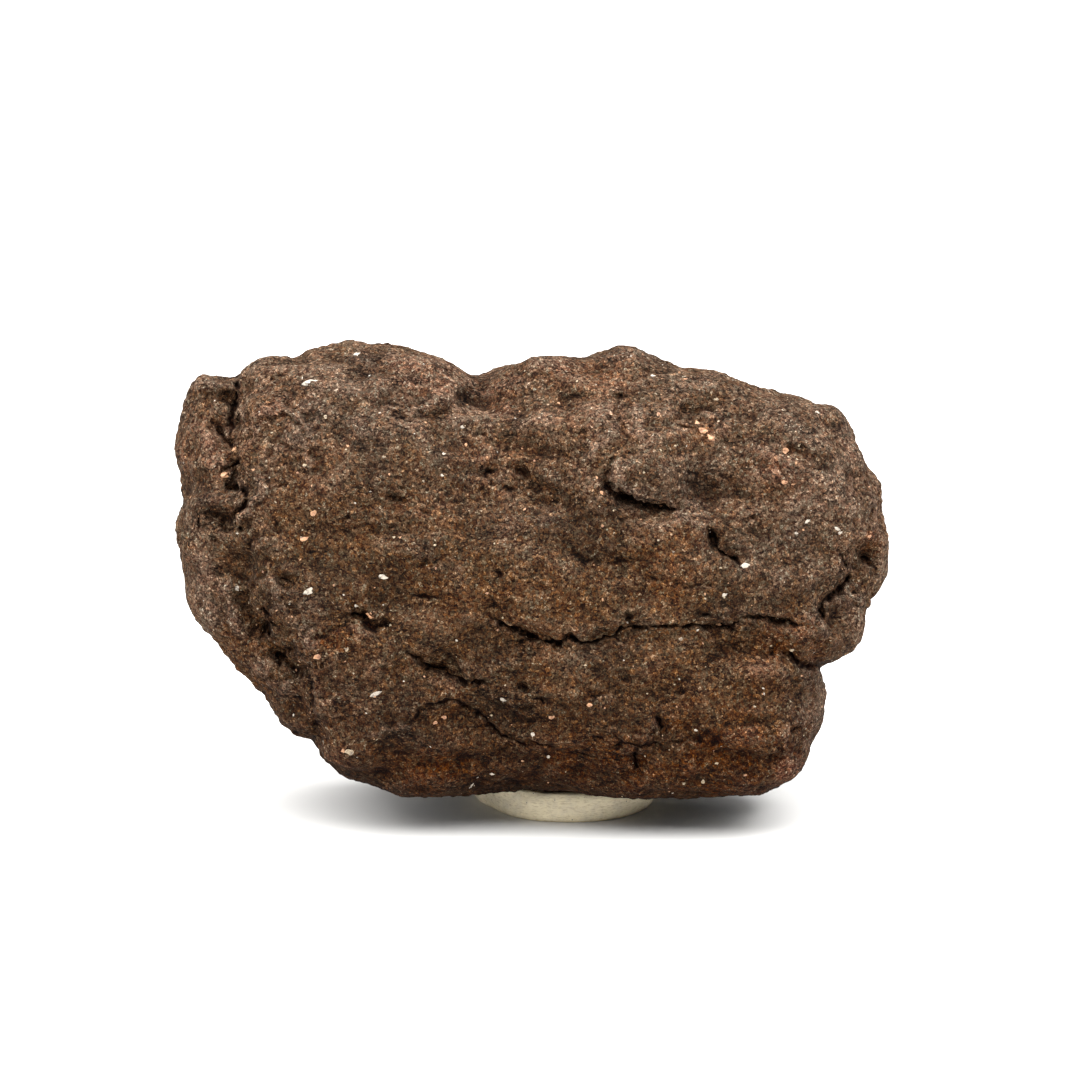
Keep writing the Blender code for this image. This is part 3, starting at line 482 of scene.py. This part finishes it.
def weathered_chondrite():
    """Weathered ordinary chondrite: a dull, sandy crust of dark oxide and tan silicate grains.

    The eye gets no shine, only grit: grains a quarter of a millimetre across in near-black, brown and
    tan, a few pale ones, rust where iron has bled out, and greyer, dustier crust where rims are rubbed.
    """
    material, tree, shader = new_material("weathered chondrite crust")
    in_mm = places_in_mm(tree)
    tone, hue_draw, grit = crust_grains(tree, in_mm)
    hairs = hair_cracks(tree, in_mm)
    toned = crust_colour(tree, in_mm, tone, hue_draw)
    tree.links.new(stained_and_shaded_colour(tree, toned, hairs), shader.inputs["Base Color"])
    surface = add_node(tree, "Math", MULTIPLY_ADD, {0: hairs, 1: -1.6, 2: grit}).outputs[0]
    bump = add_node(tree, "Bump", inputs={
        "Strength": 1.0, "Distance": 0.12 * MM, "Height": surface}).outputs["Normal"]
    tree.links.new(bump, shader.inputs["Normal"])
    shader.inputs["Roughness"].default_value = 0.92
    shader.inputs["IOR"].default_value = 1.55
    shader.inputs["Specular IOR Level"].default_value = 0.05
    return material


def silicate_grain(name, colour, crusted, cloud_mm):
    """Fresh silicate, a broken feldspar flake or a round chondrule: matt and pale, clouded with crust."""
    material, tree, shader = new_material(name)
    in_mm = places_in_mm(tree)
    cloud = add_node(tree, "TexNoise", inputs={
        "Vector": in_mm, "Scale": 1.0 / cloud_mm, "Detail": 3.0, "Roughness": 0.6}).outputs["Fac"]
    tone = add_node(tree, "ValToRGB", inputs={"Fac": cloud}, stops=[
        (0.36, crusted), (0.52, colour)]).outputs["Color"]
    tree.links.new(tone, shader.inputs["Base Color"])
    shader.inputs["Roughness"].default_value = 0.55
    shader.inputs["IOR"].default_value = 1.55
    return material


def mounting_putty():
    """Synthetic mounting putty, pressed by hand: soft cream, matt, with drawn-out streaks and dark lint."""
    looks = bpy.context.scene.putty_looks
    cloud_mm = 1.6
    streak_mm = 0.5
    lint_spacing_mm = 0.9
    material, tree, shader = new_material("hand-pressed mounting putty")
    in_mm = places_in_mm(tree)
    pull = (0.0, math.radians(12.0), 0.0)
    drawn_out = add_node(tree, "Mapping", inputs={
        "Vector": in_mm, "Rotation": pull, "Scale": (1.0, 1.0, 4.0)}).outputs["Vector"]
    cloud = add_node(tree, "TexNoise", inputs={
        "Vector": in_mm, "Scale": 1.0 / cloud_mm, "Detail": 5.0, "Roughness": 0.6}).outputs["Fac"]
    streak = add_node(tree, "TexNoise", inputs={
        "Vector": drawn_out, "Scale": 1.0 / streak_mm, "Detail": 4.0, "Roughness": 0.65}).outputs["Fac"]
    tone = add_node(tree, "ValToRGB", inputs={"Fac": cloud}, stops=[
        (0.30, looks.shade), (0.55, looks.body)]).outputs["Color"]
    streak_tone = add_node(tree, "ValToRGB", inputs={"Fac": streak}, stops=[
        (0.34, "#cdc3ab"), (0.50, "#ffffff")]).outputs["Color"]
    colour = add_node(tree, "Mix", MULTIPLY_COLOURS, {0: 0.6, 6: tone, 7: streak_tone}).outputs[2]
    specks = add_node(tree, "TexVoronoi", {"feature": "F1"},
                      {"Vector": in_mm, "Scale": 1.0 / lint_spacing_mm}).outputs["Distance"]
    speck_share = add_node(tree, "MapRange", inputs={
        "Value": specks, "From Min": 0.10, "From Max": 0.05, "To Min": 0.0, "To Max": 0.7}).outputs["Result"]
    colour = add_node(tree, "Mix", {"data_type": "RGBA"},
                      {0: speck_share, 6: colour, 7: linear("#5d4f3d")}).outputs[2]
    tree.links.new(colour, shader.inputs["Base Color"])
    bump = add_node(tree, "Bump", inputs={
        "Strength": 0.6, "Distance": 0.08 * MM, "Height": streak}).outputs["Normal"]
    tree.links.new(bump, shader.inputs["Normal"])
    shader.inputs["Roughness"].default_value = 0.62
    shader.inputs["IOR"].default_value = 1.48
    return material


def white_table():
    """White laminate, pressed smooth and matt: an even white with the faintest clouding."""
    cloud_mm = 111.0
    material, tree, shader = new_material("matt white laminate")
    cloud = add_node(tree, "TexNoise", inputs={
        "Vector": places_in_mm(tree), "Scale": 1.0 / cloud_mm, "Detail": 2.0}).outputs["Fac"]
    base = bpy.context.scene.stage_looks.table
    colour = add_node(tree, "Mix", {"data_type": "RGBA"},
                      {0: cloud, 6: base, 7: tuple(0.985 * part for part in base[:3]) + (1.0,)}).outputs[2]
    tree.links.new(colour, shader.inputs["Base Color"])
    shader.inputs["Roughness"].default_value = 0.8
    return material


def only(piece):
    """Select this piece alone."""
    bpy.ops.object.select_all(action="DESELECT")
    piece.select_set(True)
    bpy.context.view_layer.objects.active = piece


def apply_modifier(piece, kind, **settings):
    """Put a modifier on the piece and apply it."""
    only(piece)
    modifier = piece.modifiers.new(kind.lower(), kind)
    for name, value in settings.items():
        setattr(modifier, name, value)
    bpy.ops.object.modifier_apply(modifier=modifier.name)


def copy_of_node(node, name):
    """The CAD node's shape as a mesh of its own, with its points merged."""
    piece = bpy.data.objects.new(name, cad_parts[node].data.copy())
    piece.data.name = name
    piece.data.materials.clear()
    bpy.context.scene.collection.objects.link(piece)
    only(piece)
    bpy.ops.object.mode_set(mode="EDIT")
    bpy.ops.mesh.select_all(action="SELECT")
    bpy.ops.mesh.remove_doubles(threshold=0.00001)
    bpy.ops.object.mode_set(mode="OBJECT")
    return piece


def read_points(mesh, what="co"):
    """The mesh's points, or their normals, as an array of rows."""
    points = np.empty(len(mesh.vertices) * 3)
    mesh.vertices.foreach_get(what, points)
    return points.reshape(-1, 3)


def write_points(mesh, points):
    """Put the rows back as the mesh's points."""
    mesh.vertices.foreach_set("co", points.ravel())
    mesh.update()


def to_plane(rows):
    """Turn X, Y, Z rows into (across, up, behind) rows."""
    cosine = math.cos(PLANE_LEAN)
    sine = math.sin(PLANE_LEAN)
    up = rows[:, 2] * cosine + rows[:, 1] * sine
    behind = rows[:, 1] * cosine - rows[:, 2] * sine
    return np.stack([rows[:, 0], up, behind], axis=1)


def from_plane(rows):
    """Turn (across, up, behind) rows into X, Y, Z rows."""
    cosine = math.cos(PLANE_LEAN)
    sine = math.sin(PLANE_LEAN)
    depth = rows[:, 1] * sine + rows[:, 2] * cosine
    height = rows[:, 1] * cosine - rows[:, 2] * sine
    return np.stack([rows[:, 0], depth, height], axis=1)


def seen_place(body):
    """Where the viewer sees each point on the plane."""
    return body[:, :2] * (VIEWER_DISTANCE / (VIEWER_DISTANCE + body[:, 2]))[:, None]


def smooth_step(value):
    """Rise from 0 to 1 with soft ends as value goes from 0 to 1."""
    clipped = np.clip(value, 0.0, 1.0)
    return clipped * clipped * (3.0 - 2.0 * clipped)


def nearest_on_line(line, place):
    """Distance to a line of points, and way along it to the nearer end."""
    closest = np.full(len(place), np.inf)
    way_to_end = np.zeros(len(place))
    corners = np.array(line)
    lengths = np.linalg.norm(np.diff(corners, axis=0), axis=1)
    gone = 0.0
    for start, end, run_length in zip(corners, corners[1:], lengths):
        run = (end - start) / run_length
        offset = place - start
        along = np.clip(offset @ run, 0.0, run_length)
        distance = np.linalg.norm(offset - np.outer(along, run), axis=1)
        closer = distance < closest
        closest = np.where(closer, distance, closest)
        ends = np.minimum(gone + along, lengths.sum() - gone - along)
        way_to_end = np.where(closer, ends, way_to_end)
        gone += run_length
    return closest, way_to_end


def near(place, points, margin):
    """Which places lie within the margin of the points' box."""
    low = np.min(points, axis=0) - margin
    high = np.max(points, axis=0) + margin
    return np.flatnonzero(np.all((place > low) & (place < high), axis=1))


def noise_rows(spots):
    """Noise between -1 and 1 at each row."""
    return np.array([noise.noise(Vector(spot)) for spot in spots])


def knob_rows(spots):
    """Round knobs: 1 at the middle of each cell's knob, 0 beyond it."""
    nearest = np.array([noise.voronoi(Vector(spot))[0][0] for spot in spots])
    return smooth_step((0.40 - nearest) / 0.28)


def layered(body, sizes, shift):
    """The body's points along its dipping layers, in steps of the given sizes."""
    along = body[:, 0] * math.cos(LAYER_DIP) + body[:, 1] * math.sin(LAYER_DIP)
    through = body[:, 1] * math.cos(LAYER_DIP) - body[:, 0] * math.sin(LAYER_DIP)
    return np.stack([along, through, body[:, 2]], axis=1) / sizes + (shift, -shift, shift)


def swells(body, sizes, shift, height):
    """Soft swells along the layers, in millimetres."""
    return height * noise_rows(layered(body, sizes, shift))


def pocks(body, sizes, shift, level, depth):
    """Steep pocks along the layers, in millimetres, where the noise is above its level."""
    return depth * smooth_step((noise_rows(layered(body, sizes, shift)) - level) / 0.25)


def stroke_shares(strokes, place, swell):
    """For each stroke, the places that it touches and how strongly: steep sides, ragged in width."""
    for stroke in strokes:
        line, half_width = stroke[:2]
        touched = near(place, line, STROKE_REACH * half_width)
        distance, way = nearest_on_line(line, place[touched])
        across = distance / (half_width * swell[touched])
        yield stroke, touched, smooth_step(0.30 + way / END_TAPER) * 0.5 ** (across ** 2.2)


def side_shares(body, facing):
    """How far each point belongs to the front, and how far to the back."""
    front = smooth_step(facing / 0.35) * smooth_step((3.0 - body[:, 2]) / 3.0)
    back = smooth_step(-facing / 0.35) * smooth_step((body[:, 2] + 2.0) / 5.0)
    return front, back


def wander_rows(body):
    """How far the strokes stray from their lines, in millimetres."""
    wide = np.stack([noise_rows(body / 1.3 + 7.0), noise_rows(body / 1.3 - 31.0)], axis=1)
    tight = np.stack([noise_rows(body / 0.45 + 3.0), noise_rows(body / 0.45 - 13.0)], axis=1)
    return 0.42 * wide + 0.20 * tight


def swell_rows(body):
    """How much wider or narrower than drawn the strokes are."""
    return np.clip(1.0 + 1.3 * noise_rows(body / 1.1 + 51.0), 0.45, 1.7)


def mound(place, middle, widths, steepness=1.0):
    """A mound's share of its height: 1 at its middle, fading away past its half widths."""
    offset = (place - middle) / widths
    return np.exp(-np.sum(offset * offset, axis=1) ** steepness)


def stain_share(stains, place):
    """How strongly the stains mark each place."""
    share = np.zeros(len(place))
    for middle, widths, strength in stains:
        share = np.maximum(share, strength * mound(place, middle, widths))
    return share


def crust_relief(body, place):
    """Natural roughness in millimetres: soft swells, creased crumbs, pocks and chondrule knobs."""
    broken = stain_share(ROUGH_PLACES, place)
    bent = body.copy()
    bent[:, :2] += 1.5 * wander_rows(body)
    rough = np.maximum(np.clip(0.20 + 1.3 * noise_rows(body / 5.5 + 71.0), 0.0, 1.0), broken)
    height = swells(body, *BROAD_SWELLS)
    for sizes, shift, all_over, by_rough, by_broken in CREASES:
        creased = np.abs(noise_rows(layered(body, sizes, shift))) - 0.2
        height += (all_over + by_rough * rough + by_broken * broken) * creased
    height += swells(body, *FINE_SWELLS)
    height -= pocks(bent, *ROUGH_POCKS) * rough + pocks(bent, *BROKEN_POCKS) * broken
    return height + KNOB_HEIGHT * knob_rows(body / KNOB_SPACING)


def refine_near_strokes(stone):
    """Split the faces near the strokes in four, so that thin cracks keep their shape."""
    mesh = stone.data
    middles = np.empty(len(mesh.polygons) * 3)
    mesh.polygons.foreach_get("center", middles)
    facing = np.empty(len(mesh.polygons) * 3)
    mesh.polygons.foreach_get("normal", facing)
    body = to_plane(middles.reshape(-1, 3) / MM - PLANE_MIDDLE)
    front, back = side_shares(body, -to_plane(facing.reshape(-1, 3))[:, 2])
    place = seen_place(body)
    chosen = np.zeros(len(place), bool)
    for strokes, share_of_side in ((FRONT_CRACKS, front), (BACK_CRACKS, back)):
        for stroke in strokes:
            touched = near(place, stroke[0], REFINE_REACH)
            distance, _ = nearest_on_line(stroke[0], place[touched])
            chosen[touched] |= (distance < REFINE_REACH) & (share_of_side[touched] > 0.0)
    only(stone)
    bpy.ops.object.mode_set(mode="EDIT")
    bpy.ops.mesh.select_mode(type="FACE")
    bpy.ops.mesh.select_all(action="DESELECT")
    bpy.ops.object.mode_set(mode="OBJECT")
    mesh.polygons.foreach_set("select", chosen)
    bpy.ops.object.mode_set(mode="EDIT")
    bpy.ops.mesh.subdivide(number_cuts=1)
    bpy.ops.object.mode_set(mode="OBJECT")


def carve_stone(stone):
    """Press the cracks, pits and rims into the fine mesh, and roughen it all over."""
    mesh = stone.data
    points = read_points(mesh)
    normals = to_plane(read_points(mesh, "normal"))
    body = to_plane(points / MM - PLANE_MIDDLE)
    front, back = side_shares(body, -normals[:, 2])
    strength = bpy.context.scene.stone_looks.relief
    body += normals * (strength * crust_relief(body, seen_place(body)))[:, None]
    place = seen_place(body)
    for middle, widths, height in FRONT_LUMPS:
        body[:, 2] -= height * front * mound(place, middle, widths)
    place += wander_rows(body)
    swell = swell_rows(body)
    for strokes, share_of_side, side in ((FRONT_CRACKS, front, 1.0), (BACK_CRACKS, back, -1.0)):
        for (_, _, depth, undercut), touched, share in stroke_shares(strokes, place, swell):
            cut = depth * share * share_of_side[touched] * np.clip(swell[touched], 0.45, 1.25)
            body[touched, 2] += side * cut
            body[touched, 1] += undercut * cut
    for (_, _, tallness), touched, share in stroke_shares(FRONT_RIMS, place, swell):
        body[touched, 2] -= tallness * share * front[touched]
    for pits, share_of_side, side in ((FRONT_PITS, front, 1.0), (BACK_PITS, back, -1.0)):
        for middle, widths, depth in pits:
            ragged = np.array(widths) * swell[:, None]
            body[:, 2] += side * depth * share_of_side * mound(place, middle, ragged, PIT_STEEPNESS)
    write_points(mesh, (from_plane(body) + PLANE_MIDDLE) * MM)


def smoothed(mesh, points, rounds):
    """The points after so many rounds of moving halfway to their neighbours' middle."""
    edges = np.empty(len(mesh.edges) * 2, np.int64)
    mesh.edges.foreach_get("vertices", edges)
    first, second = edges.reshape(-1, 2).T
    count = np.bincount(edges, minlength=len(points))
    for _ in range(rounds):
        total = np.stack([np.bincount(first, points[second, axis], len(points))
                          + np.bincount(second, points[first, axis], len(points))
                          for axis in range(3)], axis=1)
        points = 0.5 * points + 0.5 * total / count[:, None]
    return points


def hollow_depth(mesh, points, normals, rounds):
    """How far each point lies below its smoothed surroundings, in millimetres."""
    return np.sum((smoothed(mesh, points, rounds) - points) * normals, axis=1) / MM


def write_attribute(mesh, name, values):
    """Keep one number for each point under this name."""
    attribute = mesh.attributes.new(name, "FLOAT", "POINT")
    attribute.data.foreach_set("value", values.astype(np.float32))


def crack_marks(place, swell, front, back):
    """How strongly cracks mark each point: deep ones in full, shallow ones faintly."""
    marks = np.zeros(len(place))
    for strokes, share_of_side in ((FRONT_CRACKS, front), (BACK_CRACKS, back)):
        for (_, _, depth, _), touched, share in stroke_shares(strokes, place, swell):
            mark = share * share_of_side[touched] * np.clip(1.3 * depth * swell[touched], 0.0, 1.0)
            marks[touched] = np.maximum(marks[touched], mark)
    return marks


def rim_marks(place, swell, front):
    """How strongly raised rims mark each point."""
    marks = np.zeros(len(place))
    for _, touched, share in stroke_shares(FRONT_RIMS, place, swell):
        marks[touched] = np.maximum(marks[touched], share * front[touched])
    return marks


def stain_and_shade_stone(stone):
    """Write where shade is painted dark into crevices, cracks and the lower stone, where iron has rusted, and
    where rims are rubbed grey and the two ends are painted paler as if lit.
    """
    mesh = stone.data
    points = read_points(mesh)
    normals = read_points(mesh, "normal")
    height = points[:, 2] / MM
    fine = hollow_depth(mesh, points, normals, FINE_ROUNDS)
    broad = hollow_depth(mesh, points, normals, BROAD_ROUNDS)
    body = to_plane(points / MM - PLANE_MIDDLE)
    front, back = side_shares(body, -to_plane(normals)[:, 2])
    place = seen_place(body) + wander_rows(body)
    swell = swell_rows(body)
    mottle = noise_rows(body / 2.2 - 8.0)
    # Painted shade: points below their smoothed surroundings, and those along cracks, are darkened
    hollow = 0.42 * np.clip(fine / 0.06, 0.0, 1.0) + 0.38 * np.clip((broad - 0.10) / 0.4, 0.0, 1.0)
    cracks = crack_marks(place, swell, front, back)
    rubbed = rim_marks(place, swell, front)
    # Painted shade: darker towards the foot and on the downward-facing underside
    low = smooth_step((DARK_FOOT[0] - height) / DARK_FOOT[1]) * smooth_step(0.85 - normals[:, 2])
    under = smooth_step((UNDERSIDE[0] - height) / UNDERSIDE[1]) * smooth_step(-1.5 * normals[:, 2])
    high = smooth_step((height - PALER_TOP[0]) / PALER_TOP[1])
    # Paler and greyer on upward-facing surfaces and towards the top
    paler_upward = 0.4 * smooth_step(normals[:, 2]) + 0.35 * high
    crest = np.clip((-broad - 0.05) / 0.35, 0.0, 1.0)
    # Painted light: faces turned to the left or right are made paler, as if lit from the sides
    turned = np.clip(np.maximum(1.2 * normals[:, 0], -0.8 * normals[:, 0]) - 0.55, 0.0, 1.0)
    turned *= np.clip(0.9 + normals[:, 2], 0.0, 1.0)
    # Rust is drawn stains, iron bled at random and a damp foot; grey is drawn patches, crests, rims, the
    # paler upward faces and painted light on the stone's two side-facing ends; painted shade darkens the foot
    # and the underside
    bled = 0.5 * np.clip(noise_rows(body / 6.0 + 2.0) - 0.2, 0.0, 1.0)
    rust = stain_share(RUST_STAINS, place) * front + bled + 0.3 * low
    grey = stain_share(GREY_STAINS, place) * front + 0.5 * crest + 0.7 * rubbed + turned + paler_upward
    foot_shade = (0.48 * low + 0.3 * under) * (1.0 - 0.5 * rust)
    write_attribute(mesh, "soot", np.clip(hollow + 0.8 * cracks + foot_shade, 0.0, 1.0))
    write_attribute(mesh, "rust", np.clip(rust * (1.0 + 0.9 * mottle), 0.0, 1.0))
    write_attribute(mesh, "bloom", np.clip(grey * (0.8 + 0.7 * mottle) * (1.0 - hollow), 0.0, 1.0))


def pebble(name, steps):
    """One rough grain, a millimetre across, as its points and faces."""
    bpy.ops.object.select_all(action="DESELECT")
    bpy.ops.mesh.primitive_ico_sphere_add(subdivisions=steps, radius=0.5)
    grain = bpy.context.object
    grain.name = name
    points = read_points(grain.data)
    lumps = noise_rows(points * 2.3 + 4.0)
    points *= (1.0 + 0.9 * lumps)[:, None]
    corners = np.empty(len(grain.data.loops), np.int64)
    grain.data.loops.foreach_get("vertex_index", corners)
    bpy.data.objects.remove(grain, do_unlink=True)
    return points, corners.reshape(-1, 3)


def plane_to_world(place, behind=0.0):
    """A place on the plane as a point in metres."""
    row = from_plane(np.array([[place[0], place[1], behind]]))[0]
    return Vector((row + PLANE_MIDDLE) * MM)


def seen_on_stone(stone, place):
    """The point and normal of the stone that the viewer sees at a place."""
    eye = plane_to_world((0.0, 0.0), -VIEWER_DISTANCE)
    toward = (plane_to_world(place) - eye).normalized()
    found, point, normal, _ = stone.ray_cast(eye, toward)
    if not found:
        raise RuntimeError(f"no stone is seen at {place}")
    return point, normal


def seen_grains(stone, drawn):
    """Where the drawn grains sit on the stone: point, normal, length, breadth and turn."""
    rows = []
    for place, long_side, short_side, turn in drawn:
        point, normal = seen_on_stone(stone, place)
        rows.append((point, normal, long_side, short_side, math.radians(turn)))
    return rows


def scattered_grains(stone, count, sizes, chance):
    """Small grains at random places all over the stone, in the same terms."""
    mesh = stone.data
    areas = np.empty(len(mesh.polygons))
    mesh.polygons.foreach_get("area", areas)
    rows = []
    for index in chance.choice(len(areas), count, p=areas / areas.sum()):
        polygon = mesh.polygons[int(index)]
        long_side = chance.uniform(*sizes)
        short_side = long_side * chance.uniform(0.6, 1.0)
        rows.append((polygon.center, polygon.normal, long_side, short_side, chance.uniform(0.0, math.tau)))
    return rows


def grain_axes(normal, long_side, short_side, flatness, turn):
    """A grain's three sides in metres, lying on the stone and turned about its normal."""
    level = Vector((1.0, 0.0, 0.0))
    first = (level - normal * level.dot(normal)).normalized()
    turned = Matrix.Rotation(turn, 3, normal) @ first
    second = normal.cross(turned)
    return np.array([turned * long_side, second * short_side, normal * short_side * flatness]) * MM


def set_grains(name, stone, material, drawn, count, seed, sizes, flatness, sunk):
    """Join the grains seen on the front and those scattered over all sides into one piece.

    Flatness is a grain's thickness as a share of its breadth, and sunk the share of it in the stone.
    """
    chance = np.random.default_rng(seed)
    shapes = [(pebble(name, 2), seen_grains(stone, drawn)),
              (pebble(name, 1), scattered_grains(stone, count, sizes, chance))]
    all_points = []
    all_faces = []
    used = 0
    for (shape, faces), rows in shapes:
        for point, normal, long_side, short_side, turn in rows:
            axes = grain_axes(normal, long_side, short_side, flatness, turn)
            about = chance.uniform(0.0, math.tau) if flatness > 0.5 else 0.0
            spun = shape @ np.array(Matrix.Rotation(about, 3, "Z")).T
            all_faces.append(faces + used)
            all_points.append(spun @ axes + np.array(point - normal * (sunk * short_side * flatness * MM)))
            used += len(shape)
    joined = bpy.data.meshes.new(name)
    joined.from_pydata(np.concatenate(all_points).tolist(), [], np.concatenate(all_faces).tolist())
    joined.materials.append(material)
    piece = bpy.data.objects.new(name, joined)
    bpy.context.scene.collection.objects.link(piece)
    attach(piece, "root")
    return piece


def soft_box(name, place, sides, power):
    """A rectangular soft light at this place, turned to the stone."""
    lamp = bpy.data.lights.new(name, "AREA")
    lamp.shape = "RECTANGLE"
    lamp.size, lamp.size_y = sides
    lamp.energy = power
    box = bpy.data.objects.new(name, lamp)
    box.location = place
    box.rotation_euler = (Vector(LAMP_AIM) - box.location).to_track_quat("-Z", "Y").to_euler()
    bpy.context.scene.collection.objects.link(box)


class SPECIMEN_OT_stone(bpy.types.Operator):
    """Dress the stone: a fine mesh of its solid with cracks, pits, rims and grit"""
    bl_idname = "specimen.stone"
    bl_label = "Weathered stone"

    def execute(self, context):
        looks = context.scene.stone_looks
        stone = copy_of_node("meteorite", "weathered_stone")
        apply_modifier(stone, "REMESH", mode="VOXEL", voxel_size=looks.mesh_step, adaptivity=0.0)
        apply_modifier(stone, "SMOOTH", factor=0.5, iterations=FACET_ROUNDS)
        refine_near_strokes(stone)
        carve_stone(stone)
        apply_modifier(stone, "TRIANGULATE")
        apply_modifier(stone, "DECIMATE", ratio=min(1.0, looks.faces / len(stone.data.polygons)))
        stain_and_shade_stone(stone)
        stone.data.shade_smooth()
        stone.data.materials.append(weathered_chondrite())
        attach(stone, "root")
        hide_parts("meteorite")
        return {"FINISHED"}


class SPECIMEN_OT_grains(bpy.types.Operator):
    """Set the pale grains and flakes into the stone"""
    bl_idname = "specimen.grains"
    bl_label = "Pale grains"

    def execute(self, context):
        looks = context.scene.grain_looks
        stone = bpy.data.objects["weathered_stone"]
        context.view_layer.update()
        white = silicate_grain("white feldspar flake", looks.white, linear("#5a5046"), 0.30)
        cream = silicate_grain("cream chondrule", looks.cream, linear("#57493a"), 0.35)
        peach = silicate_grain("rust-tinted chondrule", looks.peach, linear("#6d452b"), 0.35)
        count = looks.scattered
        set_grains("white_flakes", stone, white, WHITE_FLAKES, count // 2, seed=11,
                   sizes=(0.14, 0.32), flatness=0.4, sunk=0.2)
        set_grains("cream_chondrules", stone, cream, CREAM_GRAINS, count, seed=12,
                   sizes=(0.14, 0.36), flatness=0.7, sunk=0.25)
        set_grains("peach_chondrules", stone, peach, PEACH_GRAINS, count, seed=13,
                   sizes=(0.14, 0.40), flatness=0.7, sunk=0.25)
        return {"FINISHED"}


class SPECIMEN_OT_putty(bpy.types.Operator):
    """Press the pad of putty under the stone"""
    bl_idname = "specimen.putty"
    bl_label = "Putty pad"

    def execute(self, context):
        pad = copy_of_node("putty_pad", "pressed_putty")
        apply_modifier(pad, "REMESH", mode="VOXEL", voxel_size=PUTTY_STEP * MM, adaptivity=0.0)
        apply_modifier(pad, "SMOOTH", factor=0.5, iterations=PUTTY_ROUNDS)
        points = read_points(pad.data)
        normals = read_points(pad.data, "normal")
        place = points / MM
        height = np.zeros(len(place))
        for sizes, shift, tallness in PUTTY_DENTS:
            height += tallness * noise_rows(place / sizes + shift)
        free = smooth_step(place[:, 2] / 0.3)
        write_points(pad.data, points + normals * (height * free * MM)[:, None])
        pad.data.shade_smooth()
        pad.data.materials.append(mounting_putty())
        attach(pad, "root")
        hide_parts("putty_pad")
        return {"FINISHED"}


class SPECIMEN_OT_stage(bpy.types.Operator):
    """Set the white table, the soft light and the camera"""
    bl_idname = "specimen.stage"
    bl_label = "Table, light and camera"

    def execute(self, context):
        looks = context.scene.stage_looks
        scene = context.scene
        bpy.ops.object.select_all(action="DESELECT")
        bpy.ops.mesh.primitive_plane_add(size=TABLE_SIDE)
        table = context.object
        table.name = "white_table"
        table.data.materials.append(white_table())
        world = bpy.data.worlds.new("white surround")
        world.use_nodes = True
        background = world.node_tree.nodes["Background"]
        background.inputs["Color"].default_value = linear("#ffffff")
        background.inputs["Strength"].default_value = looks.sky
        scene.world = world
        for name, place, sides in SOFT_BOXES:
            soft_box(name, place, sides, getattr(looks, name))
        lens = bpy.data.cameras.new("camera")
        lens.sensor_width = SENSOR_WIDTH
        lens.lens = LENS
        lens.clip_start = 0.01
        camera = bpy.data.objects.new("camera", lens)
        camera.location = plane_to_world((0.0, 0.0), -VIEWER_DISTANCE)
        looking = plane_to_world((0.0, 0.0)) - camera.location
        camera.rotation_euler = looking.to_track_quat("-Z", "Y").to_euler()
        scene.collection.objects.link(camera)
        scene.camera = camera
        scene.view_settings.view_transform = "Standard"
        return {"FINISHED"}


class SPECIMEN_PT_panel(bpy.types.Panel):
    """The specimen's pieces"""
    bl_idname = "SPECIMEN_PT_panel"
    bl_label = "Chondrite specimen"
    bl_space_type = "VIEW_3D"
    bl_region_type = "UI"
    bl_category = "Specimen"

    def draw(self, context):
        for operator in (SPECIMEN_OT_stage, SPECIMEN_OT_stone, SPECIMEN_OT_grains, SPECIMEN_OT_putty):
            self.layout.operator(operator.bl_idname)


CLASSES = (StoneLooks, GrainLooks, PuttyLooks, StageLooks, SPECIMEN_OT_stage, SPECIMEN_OT_stone,
           SPECIMEN_OT_grains, SPECIMEN_OT_putty, SPECIMEN_PT_panel)
SETTINGS = {"stone_looks": StoneLooks, "grain_looks": GrainLooks, "putty_looks": PuttyLooks,
            "stage_looks": StageLooks}


def register():
    """Add the classes and their settings."""
    for entry in CLASSES:
        bpy.utils.register_class(entry)
    for name, group in SETTINGS.items():
        setattr(bpy.types.Scene, name, bpy.props.PointerProperty(type=group))


def unregister():
    """Take the settings and the classes away."""
    for name in SETTINGS:
        delattr(bpy.types.Scene, name)
    for entry in reversed(CLASSES):
        bpy.utils.unregister_class(entry)


def main():
    """Dress the whole specimen."""
    register()
    bpy.ops.specimen.stage()
    bpy.ops.specimen.stone()
    bpy.ops.specimen.grains()
    bpy.ops.specimen.putty()


if __name__ == "__main__":
    main()
